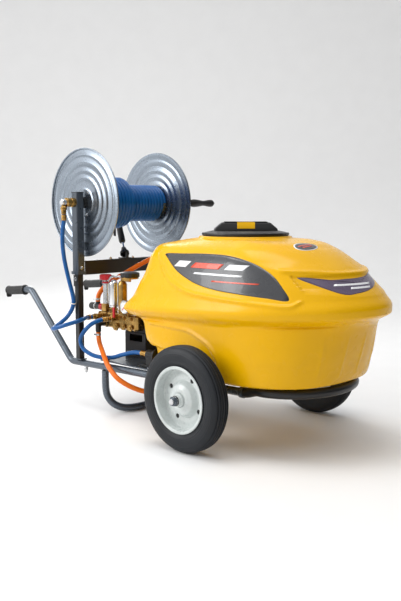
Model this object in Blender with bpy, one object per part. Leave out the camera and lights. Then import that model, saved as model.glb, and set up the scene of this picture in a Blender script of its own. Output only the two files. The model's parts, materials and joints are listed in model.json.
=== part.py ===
"""Wheeled sprayer cart: tank, belt-driven pump and hose reel on a bent-tube frame.

Metres, +Z up. +X is forward (the tank's nose), -Y is the near side, the grips are at -X.
The ground is z = 0 and x = 0 is the wheels' axle until the last step, which moves the whole
cart so that the origin lies under the middle of its box.
"""
import math

import bmesh
import bpy
from mathutils import Matrix, Vector

# Driving dimensions ---------------------------------------------------------------------
GAP = 0.0003
WHEEL_RADIUS = 0.175
WHEEL_Y = 0.3575
RAIL_Y = 0.214
RAIL_REAR_Z = 0.174
RAIL_FRONT_Z = 0.192
TUBE_RADIUS = 0.014
LOOP_RADIUS = 0.016
LOOP_Z = 0.205
LOOP_START_X = 0.120
LOOP_LEVEL_X = 0.190
LOOP_NOSE_X = 0.360
HANDLE_FOOT_X = -0.792
HANDLE_BEND = (-1.073, 0.446)
HANDLE_TIP = (-1.246, 0.430)
BEND_RADIUS = 0.048
GRIP_LENGTH = 0.133
GRIP_RADIUS = 0.0175
STAND_TOP_X = -0.580
STAND_FOOT_X = -0.512
STAND_TUBE_RADIUS = 0.014

POST_X = -0.727
POST_Y = 0.2215
POST_SIZE = 0.025
UPRIGHT_SIZE = 0.035
COLLAR_Z = 0.530
UPRIGHT_TOP = 0.852
BEAM_LOW, BEAM_HIGH = 0.527, 0.583

REEL_Z = 0.811
REEL_FLANGE_Y = 0.190
REEL_FLANGE_RADIUS = 0.2128
DRUM_RADIUS = 0.0590
SPINDLE_RADIUS = 0.0125
HOSE_OD = 0.0165
CRANK_REACH = 0.150

TANK_BOTTOM = 0.2215
TANK_WALL = 0.005
NECK_X = -0.053
NECK_OUTER, NECK_INNER = 0.163, 0.140
NECK_TOP = 0.691
LID_RADIUS = 0.154
LID_TURN = math.radians(44)
TANK_POINTS = 40

CASE_X = -0.530
HEAD_X, HEAD_Y, HEAD_Z = -0.591, -0.125, 0.3485
HEAD_LENGTH, HEAD_DEPTH, HEAD_HEIGHT = 0.2415, 0.040, 0.059
CHAMBER_X, CYLINDER_X, GAUGE_X = -0.632, -0.577, -0.534
GAUGE_Z = 0.409
REGULATOR_X = -0.680
REGULATOR_Z = 0.386
TAP_PIVOT = (-0.586, -0.1625, 0.372)
SUPPLY_PORT = (-0.695, -0.1850, 0.359)
AGITATOR_PORT = (-0.612, -0.1722, 0.358)
PULLEY_X = -0.418
SHAFT_Y, SHAFT_Z = -0.056, 0.325
MOTOR_Y, MOTOR_Z = 0.120, 0.292
PUMP_PULLEY_RADIUS = 0.045
MOTOR_PULLEY_RADIUS = 0.030
PLATE_Z = 0.2045
SUCTION = (-0.672, -0.172, 0.300)
RETURN = (-0.731, HEAD_Y, 0.413)
ORANGE_OD = 0.019
TANK_RETURN = (-0.3821, 0.034, 0.6003)
RETURN_TILT = math.radians(20.1)

# Materials ------------------------------------------------------------------------------
FINISHES = {
    "frame_paint": ((0.085, 0.10, 0.12), 0.32, 0.55),
    "black_steel": ((0.012, 0.012, 0.013), 0.45, 0.0),
    "tank_plastic": ((0.88, 0.56, 0.01), 0.38, 0.0),
    "lid_plastic": ((0.012, 0.012, 0.013), 0.42, 0.0),
    "tyre_rubber": ((0.02, 0.022, 0.026), 0.75, 0.0),
    "rim_paint": ((0.78, 0.80, 0.78), 0.40, 0.0),
    "zinc": ((0.60, 0.61, 0.62), 0.30, 1.0),
    "grip_rubber": ((0.012, 0.012, 0.012), 0.60, 0.0),
    "reel_metal": ((0.36, 0.40, 0.45), 0.35, 0.85),
    "blue_hose": ((0.0, 0.10, 0.42), 0.35, 0.0),
    "orange_hose": ((0.85, 0.19, 0.02), 0.42, 0.0),
    "brass": ((0.60, 0.40, 0.14), 0.30, 1.0),
    "polished": ((0.80, 0.80, 0.80), 0.12, 1.0),
    "red_plastic": ((0.55, 0.01, 0.02), 0.35, 0.0),
    "cast_black": ((0.018, 0.018, 0.02), 0.50, 0.3),
    "belt_rubber": ((0.015, 0.015, 0.015), 0.80, 0.0),
    "dial_white": ((0.85, 0.85, 0.83), 0.40, 0.0),
}


def material(name):
    found = bpy.data.materials.get(name)
    if found:
        return found
    colour, roughness, metallic = FINISHES[name]
    made = bpy.data.materials.new(name)
    made.use_nodes = True
    shader = made.node_tree.nodes["Principled BSDF"]
    shader.inputs["Base Color"].default_value = (*colour, 1.0)
    shader.inputs["Roughness"].default_value = roughness
    shader.inputs["Metallic"].default_value = metallic
    made.diffuse_color = (*colour, 1.0)
    return made


# Modelling helpers ----------------------------------------------------------------------
CART = None


def finish(name, bm, finish_name, smooth=True):
    """Turn a bmesh into a named object of the cart, its faces pointing out."""
    bmesh.ops.recalc_face_normals(bm, faces=bm.faces[:])
    mesh = bpy.data.meshes.new(name)
    bm.to_mesh(mesh)
    bm.free()
    if smooth:
        mesh.shade_smooth()
        mesh.set_sharp_from_angle(angle=math.radians(35))
    obj = bpy.data.objects.new(name, mesh)
    bpy.context.collection.objects.link(obj)
    obj.parent = CART
    obj.data.materials.append(material(finish_name))
    return obj


def box_bmesh(size, centre=(0, 0, 0), bevel=0.0):
    bm = bmesh.new()
    bmesh.ops.create_cube(bm, size=1.0)
    bmesh.ops.scale(bm, vec=size, verts=bm.verts[:])
    bmesh.ops.translate(bm, vec=centre, verts=bm.verts[:])
    if bevel:
        bmesh.ops.bevel(bm, geom=bm.edges[:], offset=bevel, segments=1, affect="EDGES")
    return bm


def box(name, size, centre, finish_name, bevel=0.0):
    return finish(name, box_bmesh(size, centre, bevel), finish_name, smooth=False)


def bridge(bm, ring_a, ring_b):
    count = len(ring_a)
    for i in range(count):
        j = (i + 1) % count
        bm.faces.new((ring_a[i], ring_a[j], ring_b[j], ring_b[i]))


def lathe_bmesh(profile, steps, ring=False):
    """Turn (radius, height) points about local Z. A ring's profile closes on itself."""
    bm = bmesh.new()
    rings = []
    for radius, height in profile:
        circle = []
        for i in range(steps):
            angle = 2 * math.pi * i / steps
            circle.append(bm.verts.new((radius * math.cos(angle), radius * math.sin(angle), height)))
        rings.append(circle)
    for lower, upper in zip(rings, rings[1:]):
        bridge(bm, lower, upper)
    if ring:
        bridge(bm, rings[-1], rings[0])
    else:
        bm.faces.new(rings[0])
        bm.faces.new(rings[-1])
    return bm


AXES = {
    "X": Matrix(((0, 0, 1), (1, 0, 0), (0, 1, 0))).to_4x4(),
    "Y": Matrix(((0, 1, 0), (0, 0, 1), (1, 0, 0))).to_4x4(),
    "Z": Matrix.Identity(4),
}


def lathe(name, profile, centre, axis, finish_name, steps=24, ring=False):
    obj = finish(name, lathe_bmesh(profile, steps, ring), finish_name)
    obj.matrix_local = Matrix.Translation(centre) @ AXES[axis]
    return obj


def cylinder(radius, low, high, chamfer=0.0):
    if not chamfer:
        return [(radius, low), (radius, high)]
    return [(radius - chamfer, low), (radius, low + chamfer),
            (radius, high - chamfer), (radius - chamfer, high)]


def sleeve(inner, outer, low, high):
    return [(inner, low), (outer, low), (outer, high), (inner, high)]


def fillet(corners, bend, steps=5):
    """Points along straight runs whose corners are rounded to the bend radius."""
    corners = [Vector(c) for c in corners]
    points = [corners[0]]
    for before, corner, after in zip(corners, corners[1:], corners[2:]):
        back = (before - corner).normalized()
        ahead = (after - corner).normalized()
        half = back.angle(ahead) / 2
        trim = bend / math.tan(half)
        centre = corner + (back + ahead).normalized() * (bend / math.sin(half))
        start = corner + back * trim - centre
        end = corner + ahead * trim - centre
        for i in range(steps + 1):
            points.append(centre + start.slerp(end, i / steps).normalized() * bend)
    points.append(corners[-1])
    return points


def smooth_route(route, spacing):
    """Points evenly spaced along a Catmull-Rom curve; the first and last runs stay straight."""
    route = [Vector(p) for p in route]
    fine = []
    for a, b, c, d in zip(route, route[1:], route[2:], route[3:]):
        for i in range(16):
            t = i / 16
            fine.append(0.5 * ((2 * b) + (c - a) * t + (2 * a - 5 * b + 4 * c - d) * t ** 2
                               + (3 * b - a - 3 * c + d) * t ** 3))
    fine.append(route[-2])
    total = sum((q - p).length for p, q in zip(fine, fine[1:]))
    count = max(2, round(total / spacing))
    step = total / count
    points, walked, target = [fine[0]], 0.0, step
    for p, q in zip(fine, fine[1:]):
        length = (q - p).length
        while walked + length >= target and len(points) < count:
            points.append(p.lerp(q, (target - walked) / length))
            target += step
        walked += length
    return [route[0]] + points + [fine[-1], route[-1]]


def tube(name, points, radius, finish_name, sides=3):
    """A round bar along the points, as a bevelled curve with filled ends."""
    curve = bpy.data.curves.new(name, "CURVE")
    curve.dimensions = "3D"
    curve.bevel_depth = radius
    curve.bevel_resolution = sides
    curve.use_fill_caps = True
    spline = curve.splines.new("POLY")
    spline.points.add(len(points) - 1)
    for point, place in zip(spline.points, points):
        point.co = (*place, 1.0)
    obj = bpy.data.objects.new(name, curve)
    bpy.context.collection.objects.link(obj)
    obj.parent = CART
    curve.materials.append(material(finish_name))
    return obj


def combine(obj, helpers, operation):
    """Add the helper bodies to an object, or cut them out of it, and keep the result."""
    for helper in helpers:
        modifier = obj.modifiers.new("Boolean", "BOOLEAN")
        modifier.operation = operation
        modifier.solver = "EXACT"
        modifier.object = helper
    bpy.context.view_layer.update()
    graph = bpy.context.evaluated_depsgraph_get()
    mesh = bpy.data.meshes.new_from_object(obj.evaluated_get(graph))
    obj.modifiers.clear()
    obj.data = mesh
    for helper in helpers:
        bpy.data.objects.remove(helper)
    return obj


# Frame ----------------------------------------------------------------------------------
def rail_z(x):
    share = (x - HANDLE_FOOT_X) / (LOOP_START_X - HANDLE_FOOT_X)
    return RAIL_REAR_Z + (RAIL_FRONT_Z - RAIL_REAR_Z) * share


def side_tube(name, side):
    y = side * RAIL_Y
    tip, bend = Vector((HANDLE_TIP[0], y, HANDLE_TIP[1])), Vector((HANDLE_BEND[0], y, HANDLE_BEND[1]))
    corners = [tip + (bend - tip).normalized() * 0.006,
               bend,
               (HANDLE_FOOT_X, y, RAIL_REAR_Z),
               (LOOP_START_X, y, RAIL_FRONT_Z)]
    tube(name, fillet(corners, BEND_RADIUS), TUBE_RADIUS, "frame_paint")


def front_loop():
    """Rises from the rails to the tank's floor, then runs level round the nose."""
    near_half = [(LOOP_START_X + 2 * GAP, -RAIL_Y, RAIL_FRONT_Z)]
    rise_x = LOOP_START_X + 0.012
    for i in range(6):
        share = i / 5
        rise = share * share * (3 - 2 * share)
        near_half.append((rise_x + (LOOP_LEVEL_X - rise_x) * share, -RAIL_Y,
                          RAIL_FRONT_Z + (LOOP_Z - RAIL_FRONT_Z) * rise))
    for i in range(1, 8):
        angle = math.pi / 2 * i / 8
        near_half.append((LOOP_LEVEL_X + (LOOP_NOSE_X - LOOP_LEVEL_X) * math.sin(angle),
                          -RAIL_Y * math.cos(angle), LOOP_Z))
    far_half = [(x, -y, z) for x, y, z in reversed(near_half)]
    tube("front_loop", near_half + [(LOOP_NOSE_X, 0, LOOP_Z)] + far_half, LOOP_RADIUS, "black_steel")


def rear_stand():
    """A bent loop: straight legs, a forward sweep and a flat run on the ground."""
    x, low = STAND_TOP_X, STAND_TUBE_RADIUS
    top = rail_z(x) - TUBE_RADIUS - 0.0006
    near_half = [(x, -RAIL_Y, top), (x, -RAIL_Y, top - 0.030), (x + 0.001, -RAIL_Y + 0.001, 0.090),
                 (x + 0.008, -RAIL_Y + 0.006, 0.058), (x + 0.026, -RAIL_Y + 0.020, 0.032),
                 (x + 0.048, -RAIL_Y + 0.045, 0.018), (STAND_FOOT_X - 0.002, -0.130, low + 0.0006),
                 (STAND_FOOT_X, -0.085, low), (STAND_FOOT_X, -0.040, low)]
    route = near_half + [(STAND_FOOT_X, 0, low)]
    route += [(x, -y, z) for x, y, z in reversed(near_half)]
    tube("rear_stand", smooth_route(route, 0.030), STAND_TUBE_RADIUS, "frame_paint")


def frame():
    side_tube("frame_near_side", -1)
    side_tube("frame_far_side", 1)
    front_loop()
    rear_stand()
    plate_low = PLATE_Z - 0.005
    box("base_plate", (0.275, 0.440, 0.005), (-0.465, 0, plate_low + 0.0025), "frame_paint")
    rest_low = rail_z(-0.2) + TUBE_RADIUS + 0.0006
    rest_high = TANK_BOTTOM - GAP
    box("tank_rest_bar", (0.040, 0.440, rest_high - rest_low),
        (-0.200, 0, (rest_low + rest_high) / 2), "black_steel")
    for side, label in ((-1, "near"), (1, "far")):
        low = rail_z(POST_X) + TUBE_RADIUS + 0.0006
        box(f"post_{label}", (POST_SIZE, POST_SIZE, COLLAR_Z - GAP - low),
            (POST_X, side * POST_Y, (COLLAR_Z - GAP + low) / 2), "black_steel", 0.002)
        upright(f"upright_{label}", side)
        grip(f"grip_{label}", side)


def upright(name, side):
    """Square upright on a wider collar, bored through for the reel's spindle."""
    y = side * POST_Y
    body = box(name, (UPRIGHT_SIZE, UPRIGHT_SIZE, UPRIGHT_TOP - COLLAR_Z - 0.005),
               (POST_X, y, (UPRIGHT_TOP + COLLAR_Z + 0.005) / 2), "frame_paint", 0.003)
    collar = box(name + "_collar", (0.043, 0.040, 0.012), (POST_X, y, COLLAR_Z + 0.006),
                 "frame_paint")
    combine(body, [collar], "UNION")
    bore = lathe(name + "_bore", cylinder(SPINDLE_RADIUS + 0.0005, -0.05, 0.05),
                 (POST_X, y, REEL_Z), "Y", "frame_paint")
    combine(body, [bore], "DIFFERENCE")


def crossbeam():
    """A channel between the uprights, open towards the grips."""
    half = POST_Y - 0.020 - 0.0006
    height = BEAM_HIGH - BEAM_LOW
    body = box("crossbeam", (0.030, 2 * half, height),
               (POST_X, 0, (BEAM_LOW + BEAM_HIGH) / 2), "black_steel")
    hollow = box("beam_hollow", (0.030, 2 * half + 0.02, height - 0.006),
                 (POST_X - 0.003, 0, (BEAM_LOW + BEAM_HIGH) / 2), "black_steel")
    combine(body, [hollow], "DIFFERENCE")


def grip(name, side):
    """A moulded sleeve, closed at the tip but for a small vent, with a lip at each end."""
    tip = Vector((HANDLE_TIP[0], 0, HANDLE_TIP[1]))
    along = (Vector((HANDLE_BEND[0], 0, HANDLE_BEND[1])) - tip).normalized()
    inner = TUBE_RADIUS + 0.0004
    vent = 0.002
    profile = [(inner, GRIP_LENGTH), (GRIP_RADIUS + 0.003, GRIP_LENGTH),
               (GRIP_RADIUS + 0.003, GRIP_LENGTH - 0.008), (GRIP_RADIUS, GRIP_LENGTH - 0.012),
               (GRIP_RADIUS, 0.012), (GRIP_RADIUS + 0.0035, 0.006), (GRIP_RADIUS, -0.006),
               (inner - 0.004, -0.008), (vent, -0.008), (vent, 0.003), (inner, 0.003)]
    obj = finish(name, lathe_bmesh(profile, 16, ring=True), "grip_rubber")
    turn = Vector((0, 0, 1)).rotation_difference(along).to_matrix().to_4x4()
    obj.matrix_local = Matrix.Translation((tip.x, side * RAIL_Y, tip.z)) @ turn
    return obj


# Wheels ---------------------------------------------------------------------------------
TYRE = [(0.1030, -0.029), (0.1130, -0.029), (0.1250, -0.0345), (0.1450, -0.0350),
        (0.1640, -0.0290), (0.1735, -0.0180), (0.1750, 0.0), (0.1735, 0.0180),
        (0.1640, 0.0290), (0.1450, 0.0350), (0.1250, 0.0345), (0.1130, 0.029), (0.1030, 0.029)]
RIM = [(0.1090, 0.0335), (0.1090, 0.0300), (0.1026, 0.0294), (0.1026, -0.0294),
       (0.1090, -0.0300), (0.1090, -0.0335), (0.1000, -0.0330), (0.0990, -0.006),
       (0.0600, -0.004), (0.0480, 0.014), (0.0240, 0.022), (0.0240, 0.0255),
       (0.0500, 0.0180), (0.0620, -0.0005), (0.0990, -0.0020), (0.1000, 0.0330)]
AXLE_RADIUS = 0.010


def wheel(label, side):
    """Tyre, pressed rim and hub; the profiles' +height side faces out."""
    centre = (0, side * WHEEL_Y, WHEEL_RADIUS)
    outward = [(r, side * h) for r, h in RIM]
    lathe(f"tyre_{label}", TYRE, centre, "Y", "tyre_rubber", 28, ring=True)
    lathe(f"rim_{label}", outward, centre, "Y", "rim_paint", 28, ring=True)
    hub = [(AXLE_RADIUS + GAP, side * -0.034), (0.0237, side * -0.034),
           (0.0237, side * 0.032), (0.0180, side * 0.042), (AXLE_RADIUS + GAP, side * 0.042)]
    lathe(f"hub_{label}", hub, centre, "Y", "zinc", 20, ring=True)
    inner = RAIL_Y + TUBE_RADIUS + 0.0006
    stub = lathe(f"axle_{label}", [(AXLE_RADIUS, side * (inner + 0.001)),
                                   (AXLE_RADIUS, side * (WHEEL_Y + 0.0605)),
                                   (AXLE_RADIUS - 0.0015, side * (WHEEL_Y + 0.062))],
                 (0, 0, WHEEL_RADIUS), "Y", "zinc", 20)
    plate = box(f"axle_plate_{label}", (0.090, 0.006, 0.060),
                (0, side * (inner + 0.003), WHEEL_RADIUS + 0.004), "zinc")
    combine(stub, [plate], "UNION")


# Tank -----------------------------------------------------------------------------------
# Each level: height at x = 0, rise per metre forward, half width, rear x, nose x, taper of
# the rear, and how square the nose and the rear are in plan (2 is an ellipse).
TANK_LEVELS = [
    (TANK_BOTTOM, 0.0, 0.262, -0.285, 0.347, 0.10, 2.3, 5.0),
    (TANK_BOTTOM + 0.012, 0.0, 0.281, -0.302, 0.377, 0.09, 2.7, 5.3),
    (0.296, 0.0, 0.283, -0.316, 0.401, 0.09, 2.6, 5.7),
    (0.308, 0.0, 0.283, -0.352, 0.405, 0.09, 2.6, 6.0),
    (0.400, 0.05, 0.276, -0.397, 0.442, 0.13, 2.3, 6.5),
    (0.412, 0.05, 0.280, -0.453, 0.461, 0.23, 2.0, 6.5),
    (0.430, 0.06, 0.294, -0.490, 0.498, 0.20, 2.1, 6.5),
    (0.447, 0.06, 0.298, -0.493, 0.498, 0.14, 2.1, 6.5),
    (0.490, 0.05, 0.286, -0.444, 0.475, 0.13, 2.1, 6.3),
    (0.527, 0.03, 0.277, -0.416, 0.453, 0.13, 2.1, 6.3),
    (0.560, 0.02, 0.266, -0.396, 0.422, 0.14, 2.1, 6.3),
    (0.592, 0.01, 0.255, -0.384, 0.388, 0.14, 2.1, 6.3),
    (0.620, 0.0, 0.242, -0.374, 0.349, 0.13, 2.0, 6.5),
    (0.655, 0.0, 0.215, -0.352, 0.279, 0.13, 2.0, 6.5),
    (0.672, 0.0, 0.188, -0.278, 0.225, 0.13, 2.1, 5.8),
    (0.680, 0.0, 0.172, -0.240, 0.148, 0.12, 2.2, 4.2),
]
INNER_LEVELS = (13, 11, 8, 7, 5, 4, 3, 2, 1)
TANK_MIDDLE_X = 0.080


def tank_outline(bm, level, inset=0.0, drop=0.0):
    """A plan outline: boat-shaped nose, squarer tapering rear."""
    height, slope, width, rear, nose, taper, nose_power, rear_power = level
    width, rear, nose = width - inset, rear + inset, nose - inset
    ring = []
    for i in range(TANK_POINTS):
        angle = 2 * math.pi * i / TANK_POINTS
        c, s = math.cos(angle), math.sin(angle)
        end, power = (nose, 2 / nose_power) if c >= 0 else (rear, 2 / rear_power)
        reach = abs(c) ** power
        x = TANK_MIDDLE_X + (end - TANK_MIDDLE_X) * reach
        y = width * math.copysign(abs(s) ** power, s)
        if c < 0:
            y *= 1 - taper * reach ** 2
        ring.append(bm.verts.new((x, y, height + slope * x + drop)))
    return ring


def neck_circle(bm, radius, z):
    ring = []
    for i in range(TANK_POINTS):
        angle = 2 * math.pi * i / TANK_POINTS
        ring.append(bm.verts.new((NECK_X + radius * math.cos(angle), radius * math.sin(angle), z)))
    return ring


def tank():
    """A one-piece moulded shell, hollow, open through its filler neck."""
    bm = bmesh.new()
    rings = [tank_outline(bm, level) for level in TANK_LEVELS]
    rings.append(neck_circle(bm, NECK_OUTER + 0.004, NECK_TOP - 0.007))
    rings.append(neck_circle(bm, NECK_OUTER, NECK_TOP))
    rings.append(neck_circle(bm, NECK_INNER, NECK_TOP))
    rings.append(neck_circle(bm, NECK_INNER, NECK_TOP - 0.014))
    for i in INNER_LEVELS:
        rings.append(tank_outline(bm, TANK_LEVELS[i], TANK_WALL * 1.6, 0.006 if i == 1 else -TANK_WALL))
    bm.faces.new(rings[0])
    for lower, upper in zip(rings, rings[1:]):
        bridge(bm, lower, upper)
    bm.faces.new(rings[-1])
    bmesh.ops.triangulate(bm, faces=[f for f in bm.faces if len(f.verts) > 4])
    finish("tank_shell", bm, "tank_plastic")

    low, rim = NECK_TOP - 0.111, NECK_TOP + GAP
    cup = [(0.0005, low), (0.1250, low), (0.1380, NECK_TOP - 0.002), (0.1380, rim), (0.1500, rim),
           (0.1500, rim + 0.0019), (0.1360, rim + 0.0019), (0.1360, NECK_TOP - 0.002),
           (0.1225, low + 0.0025), (0.0005, low + 0.0025)]
    lathe("filler_strainer", cup, (NECK_X, 0, 0), "Z", "lid_plastic", 28)

    base = NECK_TOP + 0.0025
    lid = lathe("tank_lid", [(0.115, base + 0.006), (0.129, base - 0.018),
                             (0.132, base - 0.018), (0.132, base),
                             (LID_RADIUS - 0.002, base), (LID_RADIUS, base + 0.004),
                             (LID_RADIUS - 0.004, base + 0.009), (0.118, base + 0.016)],
                (NECK_X, 0, 0), "Z", "lid_plastic", 32)
    bar = finish("lid_bar", lid_bar_bmesh(0.111, 0.084, 0.041, base + 0.010, base + 0.045),
                 "lid_plastic", smooth=False)
    place = Matrix.Translation((NECK_X, 0, 0)) @ Matrix.Rotation(LID_TURN, 4, "Z")
    bar.matrix_local = place
    combine(lid, [bar], "UNION")
    insert = finish("lid_insert", box_bmesh((0.062, 0.066, 0.003), (0, 0, base + 0.0468), 0.001),
                    "tank_plastic", smooth=False)
    insert.matrix_local = place


def lid_bar_bmesh(foot, crown, half_width, low, high):
    """A raised bar whose two ends slope."""
    bm = bmesh.new()
    rings = []
    for half, width, z in ((foot, half_width, low), (foot, half_width, (low + high) / 2 - 0.006),
                           (crown, half_width - 0.006, high)):
        rings.append([bm.verts.new((sx * half, sy * width, z))
                      for sx, sy in ((-1, -1), (1, -1), (1, 1), (-1, 1))])
    bm.faces.new(rings[0])
    for lower, upper in zip(rings, rings[1:]):
        bridge(bm, lower, upper)
    bm.faces.new(rings[-1])
    return bm


def tank_fittings():
    outlet_x, outlet_y = -0.130, -0.060
    z = TANK_BOTTOM - GAP
    body = lathe("tank_outlet", [(0.016, z - 0.060), (0.016, z - 0.014), (0.027, z - 0.012),
                                 (0.027, z)], (outlet_x, outlet_y, 0), "Z", "lid_plastic", 16)
    barb = lathe("outlet_barb", [(0.0085, -0.046), (0.0105, -0.030), (0.0105, 0.0)],
                 (outlet_x, outlet_y, z - 0.046), "X", "lid_plastic", 16)
    combine(body, [barb], "UNION")

    lathe("agitator_valve", [(0.009, -0.062), (0.009, -0.050), (0.019, -0.048), (0.019, -0.010),
                             (0.026, -0.008), (0.026, 0.0)],
          (-0.309, -0.190, 0.252), "X", "cast_black", 16)
    tilt = Matrix.Rotation(RETURN_TILT, 4, "Y")
    fitting = finish("return_fitting", lathe_bmesh([(0.008, -0.040), (0.0105, -0.037),
                                                    (0.0105, -0.012), (0.017, -0.010), (0.017, 0.0)],
                                                   16), "lid_plastic")
    fitting.matrix_local = Matrix.Translation(TANK_RETURN) @ tilt @ AXES["X"]


# Hose reel ------------------------------------------------------------------------------
PACK_STEP_Y = 0.010
PACK_THICK, PACK_THIN = 0.1041, 0.0757


def reel():
    centre = (POST_X, 0, REEL_Z)
    spindle = [(SPINDLE_RADIUS, -0.2560), (SPINDLE_RADIUS, 0.2440)]
    lathe("reel_spindle", spindle, centre, "Y", "black_steel", 20)
    inner = SPINDLE_RADIUS + GAP
    drum = [(DRUM_RADIUS - 0.004, -REEL_FLANGE_Y + 0.0017), (DRUM_RADIUS, -REEL_FLANGE_Y + 0.0017),
            (DRUM_RADIUS, REEL_FLANGE_Y - 0.0017), (DRUM_RADIUS - 0.004, REEL_FLANGE_Y - 0.0017)]
    lathe("reel_drum", drum, centre, "Y", "reel_metal", 24, ring=True)
    for label, side in (("near", -1), ("far", 1)):
        y = side * REEL_FLANGE_Y
        disc = [(inner, y - side * 0.0014), (0.150, y - side * 0.0014), (0.158, y + side * 0.0030),
                (0.209, y - side * 0.0010), (REEL_FLANGE_RADIUS, y + side * 0.0040),
                (0.157, y + side * 0.0052), (0.149, y + side * 0.0010), (inner, y + side * 0.0010)]
        lathe(f"reel_flange_{label}", disc, centre, "Y", "reel_metal", 32, ring=True)
        face = POST_Y - UPRIGHT_SIZE / 2 - GAP
        bush = sleeve(inner, 0.022, side * (REEL_FLANGE_Y + 0.0013), side * face)
        lathe(f"reel_bush_{label}", bush, centre, "Y", "grip_rubber", 20, ring=True)
    end = REEL_FLANGE_Y - 0.0017
    pack = [(DRUM_RADIUS + GAP, -end), (PACK_THICK, -end), (PACK_THICK, PACK_STEP_Y - 0.006),
            (PACK_THIN, PACK_STEP_Y + 0.006), (PACK_THIN, end), (DRUM_RADIUS + GAP, end)]
    lathe("wound_hose", pack, centre, "Y", "blue_hose", 32, ring=True)
    crank()
    swivel()


def crank():
    y = 0.2440 + GAP
    arm = box("crank_arm", (CRANK_REACH + 0.030, 0.006, 0.026),
              (POST_X + CRANK_REACH / 2, y + 0.003, REEL_Z), "black_steel", 0.001)
    pin = lathe("crank_pin", [(0.0050, 0.0), (0.0050, 0.148)],
                (POST_X + CRANK_REACH, y + 0.004, REEL_Z), "Y", "black_steel", 12)
    combine(arm, [pin], "UNION")
    low = y + 0.0065
    profile = [(0.0054, low), (0.0120, low), (0.0165, low + 0.020), (0.0150, low + 0.050),
               (0.0105, low + 0.078), (0.0145, low + 0.110), (0.0150, low + 0.130),
               (0.0100, low + 0.138), (0.0054, low + 0.138)]
    lathe("crank_grip", profile, (POST_X + CRANK_REACH, 0, REEL_Z), "Y", "grip_rubber", 16,
          ring=True)


def swivel():
    """Housing that stays still on the near upright while the hollow spindle turns in it."""
    outer = POST_Y + UPRIGHT_SIZE / 2 + GAP
    housing = lathe("swivel_joint", [(0.018, -0.2795), (0.018, -outer)],
                    (POST_X, 0, REEL_Z), "Y", "brass", 20)
    socket = lathe("swivel_socket", cylinder(SPINDLE_RADIUS + 0.0005, -0.2570, 0.0),
                   (POST_X, 0, REEL_Z), "Y", "brass", 20)
    combine(housing, [socket], "DIFFERENCE")
    elbow = lathe("swivel_elbow", cylinder(0.0105, -0.300, -0.275, 0.001),
                  (POST_X, 0, REEL_Z), "Y", "brass", 16)
    drop = lathe("swivel_drop", [(0.0075, -0.046), (0.0105, -0.044), (0.0105, -0.018),
                                 (0.0085, -0.016), (0.0085, 0.0)],
                 (POST_X, -0.2885, REEL_Z), "Z", "brass", 16)
    combine(housing, [elbow, drop], "UNION")


# Pump, drive and spray gun --------------------------------------------------------------
def pump():
    body = box("pump_crankcase", (0.135, 0.085, 0.083), (CASE_X, SHAFT_Y - 0.004, 0.341),
               "cast_black", 0.008)
    low, window_top = PLATE_Z + GAP, 0.298
    feet = box("pump_feet", (0.120, 0.085, window_top + 0.006 - low),
               (CASE_X, SHAFT_Y - 0.004, (window_top + 0.006 + low) / 2), "cast_black")
    window = box("pump_window", (0.074, 0.150, 0.028), (CASE_X + 0.004, SHAFT_Y, window_top - 0.014),
                 "cast_black")
    combine(feet, [window], "DIFFERENCE")
    combine(body, [feet], "UNION")
    boss_x = CASE_X + 0.0625
    boss = lathe("pump_boss", cylinder(0.024, 0.0, 0.016), (boss_x, SHAFT_Y, SHAFT_Z), "X",
                 "cast_black", 20)
    combine(body, [boss], "UNION")
    bore = lathe("pump_bore", cylinder(0.0104, -0.020, 0.050), (boss_x, SHAFT_Y, SHAFT_Z),
                 "X", "cast_black", 28)
    combine(body, [bore], "DIFFERENCE")
    pump_head()
    regulator()
    tap_and_elbows()
    gauge()
    drive()


def port(name, place, root, finish_name):
    """A hose tail from the root point out to the place where its hose begins."""
    run = Vector(place) - Vector(root)
    tail = finish(name, lathe_bmesh([(0.0105, 0.0), (0.0105, run.length - 0.002),
                                     (0.0075, run.length)], 12), finish_name)
    turn = Vector((0, 0, 1)).rotation_difference(run).to_matrix().to_4x4()
    tail.matrix_local = Matrix.Translation(root) @ turn
    return tail


def pump_head():
    head = box("pump_head", (HEAD_LENGTH, HEAD_DEPTH, HEAD_HEIGHT), (HEAD_X, HEAD_Y, HEAD_Z),
               "brass", 0.006)
    top = HEAD_Z + HEAD_HEIGHT / 2
    pieces = []
    for label, x, rise in (("chamber", CHAMBER_X, 0.018), ("cylinder", CYLINDER_X, 0.018),
                           ("gauge", GAUGE_X, 0.004)):
        pieces.append(lathe(f"{label}_seat", cylinder(0.016, top - 0.010, top + rise, 0.002),
                            (x, HEAD_Y, 0), "Z", "brass", 12))
    pieces.append(port("supply_port", SUPPLY_PORT, (SUPPLY_PORT[0], HEAD_Y, SUPPLY_PORT[2]), "brass"))
    pieces.append(port("agitator_port", AGITATOR_PORT, (-0.597, -0.130, 0.361), "brass"))
    pieces.append(lathe("tap_pin", [(0.005, TAP_PIVOT[1] + 0.0053), (0.005, HEAD_Y)],
                        (TAP_PIVOT[0], 0, TAP_PIVOT[2]), "Y", "brass", 12))
    combine(head, pieces, "UNION")
    foot = top + 0.018 + GAP
    lathe("air_chamber", [(0.010, foot), (0.0170, foot + 0.004), (0.0175, foot + 0.100),
                          (0.012, foot + 0.108), (0.006, foot + 0.111)],
          (CHAMBER_X, HEAD_Y, 0), "Z", "polished", 20)
    lathe("brass_cylinder", [(0.012, foot), (0.0162, foot + 0.004), (0.0162, foot + 0.104),
                             (0.010, foot + 0.110)], (CYLINDER_X, HEAD_Y, 0), "Z", "brass", 20)


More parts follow.
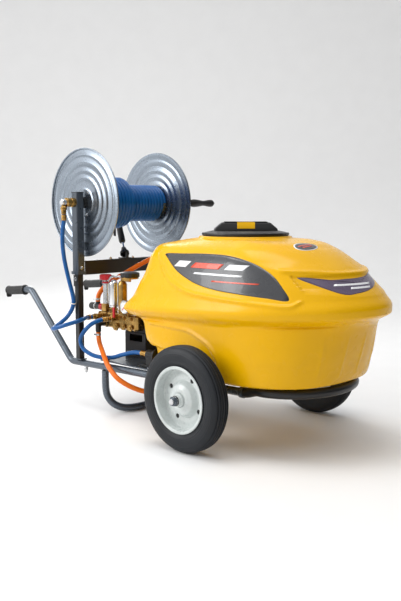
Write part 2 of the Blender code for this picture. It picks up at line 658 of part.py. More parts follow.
def regulator():
    """Block on the head, a tall sleeve above it and the round knob on top."""
    foot = HEAD_Z + HEAD_HEIGHT / 2 + GAP
    block_top = foot + 0.032
    sleeve_top = block_top + 0.084
    lathe("regulator", [(0.0135, foot), (0.0135, block_top), (0.0110, block_top + 0.001),
                        (0.0110, sleeve_top), (0.007, sleeve_top + 0.001), (0.007, sleeve_top + 0.009)],
          (REGULATOR_X, HEAD_Y, 0), "Z", "zinc", 16)
    knob = sleeve_top + 0.009 + GAP
    lathe("regulator_knob", [(0.017, knob), (0.0245, knob + 0.004), (0.0245, knob + 0.020),
                             (0.018, knob + 0.024)], (REGULATOR_X, HEAD_Y, 0), "Z", "red_plastic", 20)


def tap_and_elbows():
    box("outlet_lever", (0.008, 0.008, 0.040), (TAP_PIVOT[0], TAP_PIVOT[1], TAP_PIVOT[2] + 0.012),
        "red_plastic", 0.001)
    suction = lathe("suction_elbow", [(0.0085, SUCTION[2]), (0.0115, SUCTION[2] + 0.003),
                                      (0.0115, SUCTION[2] + 0.042), (0.008, SUCTION[2] + 0.046)],
                    (SUCTION[0], SUCTION[1], 0), "Z", "lid_plastic", 16)
    branch = lathe("suction_branch", [(0.0100, SUCTION[1]), (0.0100, HEAD_Y - HEAD_DEPTH / 2 - GAP)],
                   (SUCTION[0], 0, SUCTION[2] + 0.032), "Y", "lid_plastic", 16)
    combine(suction, [branch], "UNION")
    bend = lathe("return_elbow", [(0.0085, RETURN[2]), (0.0105, RETURN[2] - 0.003),
                                  (0.0105, REGULATOR_Z)], (RETURN[0], RETURN[1], 0), "Z",
                 "lid_plastic", 16)
    barrel = lathe("return_barrel", [(0.0130, -0.776), (0.0145, -0.772), (0.0145, -0.742),
                                     (0.0125, -0.738), (0.0125, REGULATOR_X - 0.0138)],
                   (0, HEAD_Y, REGULATOR_Z + 0.008), "X", "lid_plastic", 16)
    combine(bend, [barrel], "UNION")


def gauge():
    foot = HEAD_Z + HEAD_HEIGHT / 2 + 0.004 + GAP
    face_y = HEAD_Y - 0.029
    body = lathe("pressure_gauge", [(0.006, foot), (0.006, GAUGE_Z - 0.020)],
                 (GAUGE_X, HEAD_Y - 0.012, 0), "Z", "brass", 12)
    case = lathe("gauge_case", [(0.026, face_y), (0.026, face_y + 0.026)], (GAUGE_X, 0, GAUGE_Z), "Y",
                 "dial_white", 24)
    combine(body, [case], "UNION")
    needle = finish("gauge_needle", box_bmesh((0.003, 0.001, 0.022), (0, -0.0005, 0.006)),
                    "red_plastic", smooth=False)
    needle.location = (GAUGE_X, face_y - GAP, GAUGE_Z)
    needle.rotation_euler.y = math.radians(-135)


def drive():
    """Two pulleys in line, one belt, and the motor on the far side."""
    shaft = [(0.0100, -0.480), (0.0100, PULLEY_X - 0.010),
             (PUMP_PULLEY_RADIUS, PULLEY_X - 0.010), (PUMP_PULLEY_RADIUS - 0.006, PULLEY_X - 0.005),
             (PUMP_PULLEY_RADIUS - 0.006, PULLEY_X + 0.005), (PUMP_PULLEY_RADIUS, PULLEY_X + 0.010),
             (0.014, PULLEY_X + 0.010), (0.014, PULLEY_X + 0.014)]
    lathe("pump_pulley", shaft, (0, SHAFT_Y, SHAFT_Z), "X", "zinc", 28)
    motor = [(0.0115, -0.4595), (0.030, -0.4600), (0.060, -0.4700), (0.062, -0.4780),
             (0.062, -0.6150), (0.056, -0.6300), (0.020, -0.6320)]
    body = lathe("drive_motor", motor[::-1], (0, MOTOR_Y, MOTOR_Z), "X", "cast_black", 24)
    foot = box("motor_foot", (0.110, 0.100, 0.045), (-0.545, MOTOR_Y, PLATE_Z + GAP + 0.0225),
               "cast_black")
    junction = box("motor_box", (0.070, 0.050, 0.050), (-0.545, MOTOR_Y, MOTOR_Z + 0.070),
                   "cast_black", 0.004)
    combine(body, [foot, junction], "UNION")
    bore = lathe("motor_bore", cylinder(0.0094, -0.490, -0.440), (0, MOTOR_Y, MOTOR_Z), "X",
                 "cast_black", 24)
    combine(body, [bore], "DIFFERENCE")
    shaft = [(0.0090, -0.480), (0.0090, PULLEY_X - 0.010),
             (MOTOR_PULLEY_RADIUS, PULLEY_X - 0.010), (MOTOR_PULLEY_RADIUS - 0.006, PULLEY_X - 0.005),
             (MOTOR_PULLEY_RADIUS - 0.006, PULLEY_X + 0.005), (MOTOR_PULLEY_RADIUS, PULLEY_X + 0.010),
             (0.012, PULLEY_X + 0.010), (0.012, PULLEY_X + 0.014)]
    lathe("motor_pulley", shaft, (0, MOTOR_Y, MOTOR_Z), "X", "zinc", 24)
    belt()


def belt_ring(bm, extra, x):
    """An open belt's outline round the two groove floors, grown by extra."""
    big, small = PUMP_PULLEY_RADIUS - 0.006 + extra, MOTOR_PULLEY_RADIUS - 0.006 + extra
    across, down = MOTOR_Y - SHAFT_Y, MOTOR_Z - SHAFT_Z
    span = math.hypot(across, down)
    heading = math.atan2(down, across)
    lean = math.acos((big - small) / span)
    ring = []
    for y, z, radius, start, end in ((SHAFT_Y, SHAFT_Z, big, lean, 2 * math.pi - lean),
                                     (MOTOR_Y, MOTOR_Z, small, -lean, lean)):
        for i in range(13):
            angle = heading + start + (end - start) * i / 12
            ring.append(bm.verts.new((x, y + radius * math.cos(angle), z + radius * math.sin(angle))))
    return ring


def belt():
    bm = bmesh.new()
    rings = [belt_ring(bm, extra, PULLEY_X + x)
             for extra, x in ((0.0008, -0.0042), (0.0058, -0.0042), (0.0058, 0.0042),
                              (0.0008, 0.0042))]
    for first, second in zip(rings, rings[1:] + rings[:1]):
        bridge(bm, first, second)
    finish("drive_belt", bm, "belt_rubber")


GUN_FOOT = Vector((POST_X + 0.008, 0.010, BEAM_HIGH + 0.018))
GUN_ALONG = Vector((-0.633, 0.338, 0.775)).normalized()
TRIGGER_PIVOT = (-0.0180, 0, 0.212)


def gun_frame():
    turn = Vector((0, 0, 1)).rotation_difference(GUN_ALONG).to_matrix().to_4x4()
    return Matrix.Translation(GUN_FOOT) @ turn


def spray_gun():
    """Stowed head down on the crossbeam, leaning back behind the wound hose."""
    profile = [(0.0155, 0.0), (0.0155, 0.006), (0.010, 0.030), (0.0085, 0.034), (0.0045, 0.036),
               (0.0045, 0.066), (0.0130, 0.068), (0.0140, 0.120), (0.0120, 0.190), (0.0135, 0.240),
               (0.0100, 0.246), (0.0100, 0.275)]
    gun = finish("spray_gun", lathe_bmesh(profile, 16), "lid_plastic")
    gun.matrix_local = gun_frame()
    trigger = box_bmesh((0.006, 0.010, 0.090), (0, 0, -0.040), 0.001)
    lever = finish("gun_trigger", trigger, "lid_plastic", smooth=False)
    lever.matrix_local = (gun_frame() @ Matrix.Translation(TRIGGER_PIVOT)
                          @ Matrix.Rotation(math.radians(14), 4, "Y"))
    ring = lathe_bmesh(sleeve(0.0160, 0.0190, -0.001, 0.010), 16, ring=True)
    holder = finish("gun_holder", ring, "black_steel")
    holder.matrix_local = gun_frame()
    foot = box("holder_foot", (0.036, 0.040, 0.004), (GUN_FOOT.x, GUN_FOOT.y, BEAM_HIGH + GAP + 0.002),
               "black_steel")
    riser = box("holder_riser", (0.006, 0.012, 0.026), (GUN_FOOT.x + 0.0175, 0.008, BEAM_HIGH + 0.014),
                "black_steel")
    combine(holder, [foot, riser], "UNION")


# Hoses ----------------------------------------------------------------------------------
SUPPLY_ROUTE = [(-0.727, -0.2885, 0.7646), (-0.7275, -0.2885, 0.742), (-0.738, -0.287, 0.705),
                (-0.747, -0.283, 0.654), (-0.750, -0.275, 0.599), (-0.746, -0.267, 0.548),
                (-0.738, -0.258, 0.493), (-0.730, -0.251, 0.449), (-0.730, -0.248, 0.418),
                (-0.745, -0.247, 0.388), (-0.762, -0.258, 0.359), (-0.772, -0.281, 0.338),
                (-0.770, -0.309, 0.325), (-0.753, -0.333, 0.322), (-0.724, -0.346, 0.327),
                (-0.690, -0.344, 0.337), (-0.661, -0.327, 0.348), (-0.645, -0.300, 0.357),
                (-0.648, -0.269, 0.362), (-0.667, -0.241, 0.362), (-0.686, -0.218, 0.360),
                (-0.695, -0.200, 0.359), (-0.695, -0.1853, 0.359)]
AGITATOR_ROUTE = [(-0.6122, -0.1727, 0.3579), (-0.6190, -0.1920, 0.3565),
                  (-0.6290, -0.2130, 0.3510), (-0.6450, -0.2340, 0.3360),
                  (-0.6690, -0.2470, 0.3080), (-0.6875, -0.2500, 0.2750),
                  (-0.6730, -0.2480, 0.2430), (-0.6383, -0.2372, 0.2225),
                  (-0.6074, -0.2207, 0.2137), (-0.5789, -0.2074, 0.2135),
                  (-0.5431, -0.1990, 0.2185), (-0.5020, -0.1945, 0.2323),
                  (-0.4400, -0.1910, 0.2490), (-0.4000, -0.1900, 0.2520),
                  (-0.3715, -0.1900, 0.2520)]
SUCTION_ROUTE = [(-0.6720, -0.1720, 0.2996), (-0.6720, -0.1720, 0.2870), (-0.6545, -0.1822, 0.2623),
                 (-0.6003, -0.2112, 0.2368), (-0.5568, -0.2349, 0.2190), (-0.5263, -0.2491, 0.2035),
                 (-0.5021, -0.2545, 0.1864), (-0.4660, -0.2535, 0.1595), (-0.4355, -0.2408, 0.1393),
                 (-0.4095, -0.2193, 0.1224), (-0.3830, -0.1900, 0.1090), (-0.3480, -0.1510, 0.1030),
                 (-0.3050, -0.1130, 0.1090), (-0.2650, -0.0850, 0.1270), (-0.2340, -0.0670, 0.1510),
                 (-0.2120, -0.0600, 0.1670), (-0.1950, -0.0600, 0.1745), (-0.1765, -0.0600, 0.1752)]
RETURN_ROUTE = [(-0.731, -0.125, 0.4134), (-0.731, -0.125, 0.424), (-0.728, -0.120, 0.445),
                (-0.718, -0.106, 0.468), (-0.702, -0.087, 0.490), (-0.683, -0.066, 0.508),
                (-0.657, -0.042, 0.528), (-0.620, -0.012, 0.556), (-0.575, 0.015, 0.583),
                (-0.525, 0.030, 0.604), (-0.478, 0.034, 0.6165), (-0.4400, 0.034, 0.6210),
                (-0.4200, 0.034, 0.6142)]


def hoses():
    tube("supply_hose", smooth_route(SUPPLY_ROUTE, 0.033), HOSE_OD / 2, "blue_hose", 2)
    tube("agitator_hose", smooth_route(AGITATOR_ROUTE, 0.033), HOSE_OD / 2, "blue_hose", 2)
    tube("suction_hose", smooth_route(SUCTION_ROUTE, 0.038), ORANGE_OD / 2, "orange_hose", 2)
    tube("return_hose", smooth_route(RETURN_ROUTE, 0.038), ORANGE_OD / 2, "orange_hose", 2)


def move_origin():
    """Slide the cart along X so that its origin lies under the middle of its length."""
    bpy.context.view_layer.update()
    graph = bpy.context.evaluated_depsgraph_get()
    reach = []
    for obj in bpy.data.objects:
        if obj.type in {"MESH", "CURVE"}:
            solid = obj.evaluated_get(graph)
            reach += [(obj.matrix_world @ vertex.co).x for vertex in solid.to_mesh().vertices]
            solid.to_mesh_clear()
    CART.location.x = -(min(reach) + max(reach)) / 2


def build():
    global CART
    for obj in list(bpy.data.objects):
        bpy.data.objects.remove(obj)
    CART = bpy.data.objects.new("cart", None)
    bpy.context.collection.objects.link(CART)
    frame()
    crossbeam()
    for label, side in (("near", -1), ("far", 1)):
        wheel(label, side)
    tank()
    tank_fittings()
    reel()
    pump()
    spray_gun()
    hoses()
    move_origin()


build()
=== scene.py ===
"""The look of a two-wheeled sprayer cart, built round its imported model.

Metres, +Z up. +X is forward (the tank's nose), -Y is the near side, the grips are at -X and
the ground is z = 0. Places are written with x measured from the wheels' axle, and AXLE_X
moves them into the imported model's frame.
"""
import json
import math

import bmesh
import bpy
import numpy as np
from mathutils import Matrix, Vector
from mathutils.bvhtree import BVHTree

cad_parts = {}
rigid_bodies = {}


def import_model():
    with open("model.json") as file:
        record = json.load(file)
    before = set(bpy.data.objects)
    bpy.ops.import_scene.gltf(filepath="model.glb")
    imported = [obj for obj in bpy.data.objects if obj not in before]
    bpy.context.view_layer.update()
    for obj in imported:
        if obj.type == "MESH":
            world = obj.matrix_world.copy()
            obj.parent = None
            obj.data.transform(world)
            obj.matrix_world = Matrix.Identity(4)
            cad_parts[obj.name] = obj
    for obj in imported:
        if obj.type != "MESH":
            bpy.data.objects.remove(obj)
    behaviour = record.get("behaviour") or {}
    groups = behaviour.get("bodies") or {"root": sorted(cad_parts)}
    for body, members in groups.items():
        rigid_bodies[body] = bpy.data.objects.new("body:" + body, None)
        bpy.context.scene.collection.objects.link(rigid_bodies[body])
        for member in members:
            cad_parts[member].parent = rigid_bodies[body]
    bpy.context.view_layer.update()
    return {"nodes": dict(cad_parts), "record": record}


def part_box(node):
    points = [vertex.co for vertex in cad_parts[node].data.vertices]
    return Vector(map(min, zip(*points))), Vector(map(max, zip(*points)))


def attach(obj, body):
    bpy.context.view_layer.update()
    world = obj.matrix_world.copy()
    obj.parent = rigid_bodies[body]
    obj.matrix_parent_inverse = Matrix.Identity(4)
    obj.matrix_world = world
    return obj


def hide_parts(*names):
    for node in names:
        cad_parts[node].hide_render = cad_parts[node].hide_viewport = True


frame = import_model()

AXLE_X = sum(corner.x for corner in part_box("tyre_near")) / 2
TO_FRAME = Matrix.Translation((AXLE_X, 0, 0))

# Driving dimensions ---------------------------------------------------------------------
WHEEL_RADIUS = 0.175
WHEEL_Y = 0.3575
RAIL_Y = 0.214
RAIL_REAR_Z, RAIL_FRONT_Z = 0.174, 0.192
TUBE_RADIUS = 0.014
LOOP_RADIUS = 0.016
LOOP_Z = 0.205
LOOP_START_X, LOOP_LEVEL_X, LOOP_NOSE_X = 0.12, 0.19, 0.36
HANDLE_FOOT_X = -0.792
HANDLE_BEND = (-1.073, 0.446)
HANDLE_TIP = (-1.246, 0.43)
BEND_RADIUS = 0.048
GRIP_LENGTH = 0.133
STAND_TOP_X, STAND_FOOT_X = -0.58, -0.512
POST_X, POST_Y = -0.727, 0.2215
BEAM_HIGH = 0.583
REEL_Z = 0.811
REEL_FLANGE_Y = 0.19
REEL_FLANGE_RADIUS = 0.2128
DRUM_RADIUS = 0.059
HOSE_OD, ORANGE_OD = 0.0165, 0.019
CRANK_REACH = 0.15
NECK_X, NECK_OUTER, NECK_INNER, NECK_TOP = -0.053, 0.163, 0.14, 0.691
LID_RADIUS = 0.154
LID_TURN = math.radians(44)
TANK_BOTTOM = 0.2215
CASE_X = -0.53
HEAD_X, HEAD_Y, HEAD_Z = -0.591, -0.125, 0.3485
HEAD_LENGTH, HEAD_DEPTH, HEAD_HEIGHT = 0.2415, 0.04, 0.059
HEAD_TOP = HEAD_Z + HEAD_HEIGHT / 2
CHAMBER_X, CYLINDER_X, GAUGE_X, REGULATOR_X = -0.632, -0.577, -0.534, -0.68
GAUGE_Z = 0.409
PLATE_Z = 0.2045
GUN_FOOT = Vector((POST_X + 0.008, 0.01, BEAM_HIGH + 0.018))
GUN_ALONG = Vector((-0.633, 0.338, 0.775)).normalized()


# Camera ---------------------------------------------------------------------------------
def camera():
    """Stands a little above the tank, 44 degrees round from the near side to the nose."""
    data = bpy.data.cameras.new("camera")
    data.lens = 46.44
    data.sensor_width = 36.0
    azimuth, elevation = math.radians(43.953), math.radians(6.5413)
    ahead = Vector((-math.sin(azimuth) * math.cos(elevation), math.cos(azimuth) * math.cos(elevation),
        -math.sin(elevation)))
    right = Vector((math.cos(azimuth), math.sin(azimuth), 0.0))
    up = right.cross(ahead)
    turn = Matrix((right, up, -ahead)).transposed().to_4x4()
    made = bpy.data.objects.new("camera", data)
    made.matrix_world = Matrix.Translation((1.7389 + AXLE_X, -2.0872, 0.7756)) @ turn
    bpy.context.collection.objects.link(made)
    bpy.context.scene.camera = made


# Materials ------------------------------------------------------------------------------
def surface(name, colour, roughness, metallic=0.0, mottle=0.12, mottle_scale=7.0, grain=0.00012,
        grain_scale=420.0, gloss_spread=0.06, coat=0.0, dust=0.0, shine=0.5):
    """A material whose colour, gloss and fine grain vary over the surface."""
    made = bpy.data.materials.new(name)
    made.use_nodes = True
    made.diffuse_color = (*colour, 1.0)
    nodes, links = made.node_tree.nodes, made.node_tree.links
    shader = nodes["Principled BSDF"]
    shader.inputs["Metallic"].default_value = metallic
    shader.inputs["Coat Weight"].default_value = coat
    shader.inputs["Specular IOR Level"].default_value = shine
    place = nodes.new("ShaderNodeTexCoord")

    def cloud(scale, detail):
        noise = nodes.new("ShaderNodeTexNoise")
        noise.inputs["Scale"].default_value = scale
        noise.inputs["Detail"].default_value = detail
        links.new(place.outputs["Object"], noise.inputs["Vector"])
        return noise.outputs["Fac"]

    def span(value, low, high, start=0.3, stop=0.7):
        remap = nodes.new("ShaderNodeMapRange")
        remap.inputs["From Min"].default_value = start
        remap.inputs["From Max"].default_value = stop
        remap.inputs["To Min"].default_value = low
        remap.inputs["To Max"].default_value = high
        links.new(value, remap.inputs["Value"])
        return remap.outputs["Result"]

    def blend(share, first, second):
        mix = nodes.new("ShaderNodeMix")
        mix.data_type = "RGBA"
        links.new(share, mix.inputs[0])
        for socket, value in ((mix.inputs[6], first), (mix.inputs[7], second)):
            if isinstance(value, tuple):
                socket.default_value = (*value, 1.0)
            else:
                links.new(value, socket)
        return mix.outputs[2]

    dark = tuple(c * (1 - mottle) for c in colour)
    light = tuple(min(1.0, c * (1 + mottle)) for c in colour)
    tint = blend(span(cloud(mottle_scale, 5), 0.0, 1.0), dark, light)
    if dust:
        upward = nodes.new("ShaderNodeSeparateXYZ")
        normal = nodes.new("ShaderNodeNewGeometry")
        links.new(normal.outputs["Normal"], upward.inputs["Vector"])
        settled = nodes.new("ShaderNodeMath")
        settled.operation = "MULTIPLY"
        links.new(span(upward.outputs["Z"], 0.0, dust, 0.2, 1.0), settled.inputs[0])
        links.new(span(cloud(24.0, 6), 0.3, 1.0), settled.inputs[1])
        tint = blend(settled.outputs[0], tint, (0.42, 0.4, 0.36))
    links.new(tint, shader.inputs["Base Color"])
    links.new(span(cloud(mottle_scale * 3.3, 6), max(0.02, roughness - gloss_spread),
        min(1.0, roughness + gloss_spread)), shader.inputs["Roughness"])
    bump = nodes.new("ShaderNodeBump")
    bump.inputs["Strength"].default_value = 1.0
    bump.inputs["Distance"].default_value = grain
    links.new(cloud(grain_scale, 3), bump.inputs["Height"])
    links.new(bump.outputs["Normal"], shader.inputs["Normal"])
    return made


def materials():
    """One material for each of the record's slots, and a few for small parts and panels."""
    return {"frame_paint": surface("frame_paint", (0.08, 0.098, 0.122), 0.3, 0.55, coat=0.3,
        grain=0.00006), "black_steel": surface("black_steel", (0.007, 0.007, 0.008), 0.36, grain=0.0001,
        mottle=0.3), "tank_plastic": surface("tank_plastic", (0.78, 0.42, 0.001), 0.26, mottle=0.05,
        shine=0.2, mottle_scale=4.0, grain=0.00012, grain_scale=260.0, coat=0.04),
        "lid_plastic": surface("lid_plastic", (0.006, 0.006, 0.007), 0.38, mottle=0.25, grain=0.00014,
        grain_scale=700.0), "tyre_rubber": surface("tyre_rubber", (0.0105, 0.0125, 0.016), 0.5,
        mottle=0.25, grain=0.0002, grain_scale=300.0, shine=0.3),
        "rim_paint": surface("rim_paint", (0.56, 0.6, 0.59), 0.3, mottle=0.1, coat=0.3,
        mottle_scale=20.0, grain=0.00006), "zinc": surface("zinc", (0.58, 0.59, 0.6), 0.25, 1.0,
        mottle=0.14, grain=0.00004), "grip_rubber": surface("grip_rubber", (0.006, 0.006, 0.006), 0.5,
        mottle=0.25, grain=0.00016, grain_scale=600.0), "reel_metal": surface("reel_metal",
        (0.27, 0.31, 0.36), 0.27, 0.95, mottle=0.04, gloss_spread=0.02, grain=0.0, coat=0.1),
        "blue_hose": surface("blue_hose", (0.0, 0.085, 0.3), 0.24, mottle=0.08, shine=0.4,
        mottle_scale=18.0, grain=0.00001, gloss_spread=0.03), "orange_hose": surface("orange_hose",
        (0.74, 0.15, 0.004), 0.34, mottle=0.08, shine=0.3, mottle_scale=15.0, grain=0.00008),
        "brass": surface("brass", (0.42, 0.25, 0.075), 0.24, 1.0, mottle=0.35, mottle_scale=30.0,
        grain=0.00006), "polished": surface("polished", (0.8, 0.8, 0.8), 0.09, 1.0, mottle=0.03,
        gloss_spread=0.03, grain=0.00002), "red_plastic": surface("red_plastic", (0.55, 0.008, 0.02),
        0.28, mottle=0.08, coat=0.3), "cast_black": surface("cast_black", (0.008, 0.008, 0.009), 0.4,
        0.3, mottle=0.3, grain=0.0003, grain_scale=180.0), "belt_rubber": surface("belt_rubber",
        (0.012, 0.012, 0.012), 0.8, grain=0.00025), "dial_white": surface("dial_white",
        (0.82, 0.82, 0.8), 0.35, mottle=0.03), "panel_grey": surface("panel_grey",
        (0.03, 0.032, 0.038), 0.28, mottle=0.15, coat=0.3, grain=0.00004),
        "panel_violet": surface("panel_violet", (0.085, 0.06, 0.115), 0.28, mottle=0.12, coat=0.3,
        grain=0.00004), "stripe_white": surface("stripe_white", (0.8, 0.81, 0.83), 0.3, mottle=0.03,
        coat=0.3, grain=0.00003), "stripe_red": surface("stripe_red", (0.72, 0.06, 0.02), 0.3,
        mottle=0.05, coat=0.3, grain=0.00003), "tie_white": surface("tie_white", (0.8, 0.8, 0.78),
        0.45, mottle=0.04),}


MATERIALS = materials()


# Helpers --------------------------------------------------------------------------------
def place_piece(obj, finish, body, stands_for):
    obj.data.materials.clear()
    obj.data.materials.append(MATERIALS[finish])
    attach(obj, body)
    if stands_for:
        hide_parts(*stands_for)
    return obj


def mesh_object(name, bm, local):
    """An object made from a bmesh, placed with x measured from the axle."""
    bmesh.ops.recalc_face_normals(bm, faces=bm.faces[:])
    mesh = bpy.data.meshes.new(name)
    bm.to_mesh(mesh)
    bm.free()
    obj = bpy.data.objects.new(name, mesh)
    bpy.context.collection.objects.link(obj)
    obj.matrix_world = TO_FRAME @ local
    return obj


def piece(name, bm, finish, body="frame", local=Matrix.Identity(4), stands_for=(), sharp=35.0,
        bevel=0.0):
    """A finished mesh in its material, which moves with one body."""
    obj = mesh_object(name, bm, local)
    obj.data.shade_smooth()
    obj.data.set_sharp_from_angle(angle=math.radians(sharp))
    if bevel:
        add_bevel(obj, bevel)
    return place_piece(obj, finish, body, stands_for)


def add_bevel(obj, width, segments=3):
    rounding = obj.modifiers.new("Edges", "BEVEL")
    rounding.width = width
    rounding.segments = segments
    rounding.limit_method = "ANGLE"
    rounding.angle_limit = math.radians(40)
    rounding.harden_normals = True


def bridge(bm, ring_a, ring_b):
    count = len(ring_a)
    for i in range(count):
        j = (i + 1) % count
        bm.faces.new((ring_a[i], ring_a[j], ring_b[j], ring_b[i]))


def lathe(profile, steps=48, ring=False):
    """Turn (radius, height) points about local Z. A ring's profile closes on itself."""
    bm = bmesh.new()
    rings = []
    for radius, height in profile:
        rings.append([bm.verts.new((radius * math.cos(a), radius * math.sin(a),
            height)) for a in (2 * math.pi * i / steps for i in range(steps))])
    for lower, upper in zip(rings, rings[1:]):
        bridge(bm, lower, upper)
    if ring:
        bridge(bm, rings[-1], rings[0])
    else:
        bm.faces.new(rings[0])
        bm.faces.new(rings[-1])
    return bm


def soften(profile, radius, ring=False, steps=3):
    """The same outline with each corner rounded off by a short curve."""
    count = len(profile)
    points = [Vector(p) for p in profile]
    out = []
    for i, corner in enumerate(points):
        if not ring and i in (0, count - 1):
            out.append(corner)
            continue
        back, ahead = points[i - 1] - corner, points[(i + 1) % count] - corner
        cut_back = min(radius, back.length * 0.45)
        cut_ahead = min(radius, ahead.length * 0.45)
        start = corner + back.normalized() * cut_back
        end = corner + ahead.normalized() * cut_ahead
        for k in range(steps + 1):
            t = k / steps
            out.append(start * (1 - t) ** 2 + corner * 2 * t * (1 - t) + end * t ** 2)
    return [(p.x, p.y) for p in out]


AXES = {"X": Matrix(((0, 0, 1), (1, 0, 0), (0, 1, 0))).to_4x4(), "Y": Matrix(((0, 1, 0), (0, 0, 1),
    (1, 0, 0))).to_4x4(), "Z": Matrix.Identity(4),}


def turned(name, profile, centre, axis, finish, soft=0.001, steps=48, ring=False, **rest):
    local = Matrix.Translation(centre) @ AXES[axis]
    return piece(name, lathe(soften(profile, soft, ring), steps, ring), finish, local=local, **rest)


def block_bmesh(size, centre=(0, 0, 0)):
    bm = bmesh.new()
    bmesh.ops.create_cube(bm, size=1.0)
    bmesh.ops.scale(bm, vec=size, verts=bm.verts[:])
    bmesh.ops.translate(bm, vec=centre, verts=bm.verts[:])
    return bm


def block(name, size, centre, finish, bevel=0.001, **rest):
    return piece(name, block_bmesh(size, centre), finish, bevel=bevel, **rest)


def nut_bmesh(flats, height, steps=6):
    """A hexagon with its corners turned down at both ends."""
    outer = flats / math.sqrt(3)
    return lathe([(outer * 0.9, 0.0), (outer, height * 0.12), (outer, height * 0.88),
        (outer * 0.9, height)], steps)


def nut(name, flats, height, local, finish="brass", body="frame"):
    return piece(name, nut_bmesh(flats, height), finish, body, local, sharp=28)


def facing(direction):
    """The turn that points local Z along a direction."""
    return Vector((0, 0, 1)).rotation_difference(Vector(direction)).to_matrix().to_4x4()


def bolt(name, place, axis, flats=0.013, washer=0.011, finish="zinc", body="frame"):
    """Washer, hexagon head and a short stub of thread, from the surface outwards."""
    local = Matrix.Translation(place) @ facing(axis)
    bm = lathe([(washer, 0.0), (washer, 0.0016)], 32)
    add_bmesh(bm, nut_bmesh(flats, flats * 0.55), Matrix.Translation((0, 0, 0.0017)))
    thread = lathe(soften([(flats * 0.27, 0.0), (flats * 0.27, flats * 0.75)], 0.0005), 20)
    add_bmesh(bm, thread, Matrix.Translation((0, 0, 0.0018)))
    return piece(name, bm, finish, body=body, local=local, sharp=28)


def add_bmesh(bm, other, local=Matrix.Identity(4)):
    """Copy another bmesh's faces into bm, moved by local."""
    made = {v: bm.verts.new(local @ v.co) for v in other.verts}
    for face in other.faces:
        bm.faces.new([made[v] for v in face.verts])
    other.free()


def combine(obj, helpers, operation):
    """Add helper solids to an object, or cut them out of it, and keep the result."""
    for helper in helpers:
        modifier = obj.modifiers.new("Boolean", "BOOLEAN")
        modifier.operation = operation
        modifier.solver = "EXACT"
        modifier.object = helper
    bpy.context.view_layer.update()
    graph = bpy.context.evaluated_depsgraph_get()
    mesh = bpy.data.meshes.new_from_object(obj.evaluated_get(graph))
    obj.modifiers.clear()
    obj.data = mesh
    mesh.shade_smooth()
    mesh.set_sharp_from_angle(angle=math.radians(35))
    for helper in helpers:
        bpy.data.objects.remove(helper)


def fillet(corners, bend, steps=10):
    """Points along straight runs whose corners are rounded to the bend radius."""
    corners = [Vector(c) for c in corners]
    points = [corners[0]]
    for before, corner, after in zip(corners, corners[1:], corners[2:]):
        back = (before - corner).normalized()
        ahead = (after - corner).normalized()
        half = back.angle(ahead) / 2
        trim = bend / math.tan(half)
        centre = corner + (back + ahead).normalized() * (bend / math.sin(half))
        start = corner + back * trim - centre
        end = corner + ahead * trim - centre
        for i in range(steps + 1):
            points.append(centre + start.slerp(end, i / steps).normalized() * bend)
    points.append(corners[-1])
    return points


def smooth_route(route, spacing):
    """Points evenly spaced along a Catmull-Rom curve; the first and last runs stay straight."""
    route = [Vector(p) for p in route]
    fine = []
    for a, b, c, d in zip(route, route[1:], route[2:], route[3:]):
        for i in range(16):
            t = i / 16
            fine.append(0.5 * ((2 * b) + (c - a) * t + (2 * a - 5 * b + 4 * c - d) * t ** 2 + (3 * b
                - a - 3 * c + d) * t ** 3))
    fine.append(route[-2])
    total = sum((q - p).length for p, q in zip(fine, fine[1:]))
    count = max(2, round(total / spacing))
    step = total / count
    points, walked, target = [fine[0]], 0.0, step
    for p, q in zip(fine, fine[1:]):
        length = (q - p).length
        while walked + length >= target and len(points) < count:
            points.append(p.lerp(q, (target - walked) / length))
            target += step
        walked += length
    return [route[0]] + points + [fine[-1], route[-1]]


def tube(name, points, radius, finish, body="frame", stands_for=(), sides=8):
    """A round bar or hose along the points, as a bevelled curve with filled ends."""
    curve = bpy.data.curves.new(name, "CURVE")
    curve.dimensions = "3D"
    curve.bevel_depth = radius
    curve.bevel_resolution = sides
    curve.use_fill_caps = True
    spline = curve.splines.new("POLY")
    spline.points.add(len(points) - 1)
    for point, place in zip(spline.points, points):
        point.co = (*(TO_FRAME @ Vector(place)), 1.0)
    obj = bpy.data.objects.new(name, curve)
    bpy.context.collection.objects.link(obj)
    return place_piece(obj, finish, body, stands_for)


def run_length(points):
    return sum((Vector(q) - Vector(p)).length for p, q in zip(points, points[1:]))


def along(points, distance):
    """The place and heading at a distance along a route, as a matrix whose Z runs along it."""
    walked = 0.0
    for p, q in zip(points, points[1:]):
        p, q = Vector(p), Vector(q)
        length = (q - p).length
        if walked + length >= distance:
            return Matrix.Translation(p.lerp(q, (distance - walked) / length)) @ facing(q - p)
        walked += length
    return along(points, walked - 1e-6)


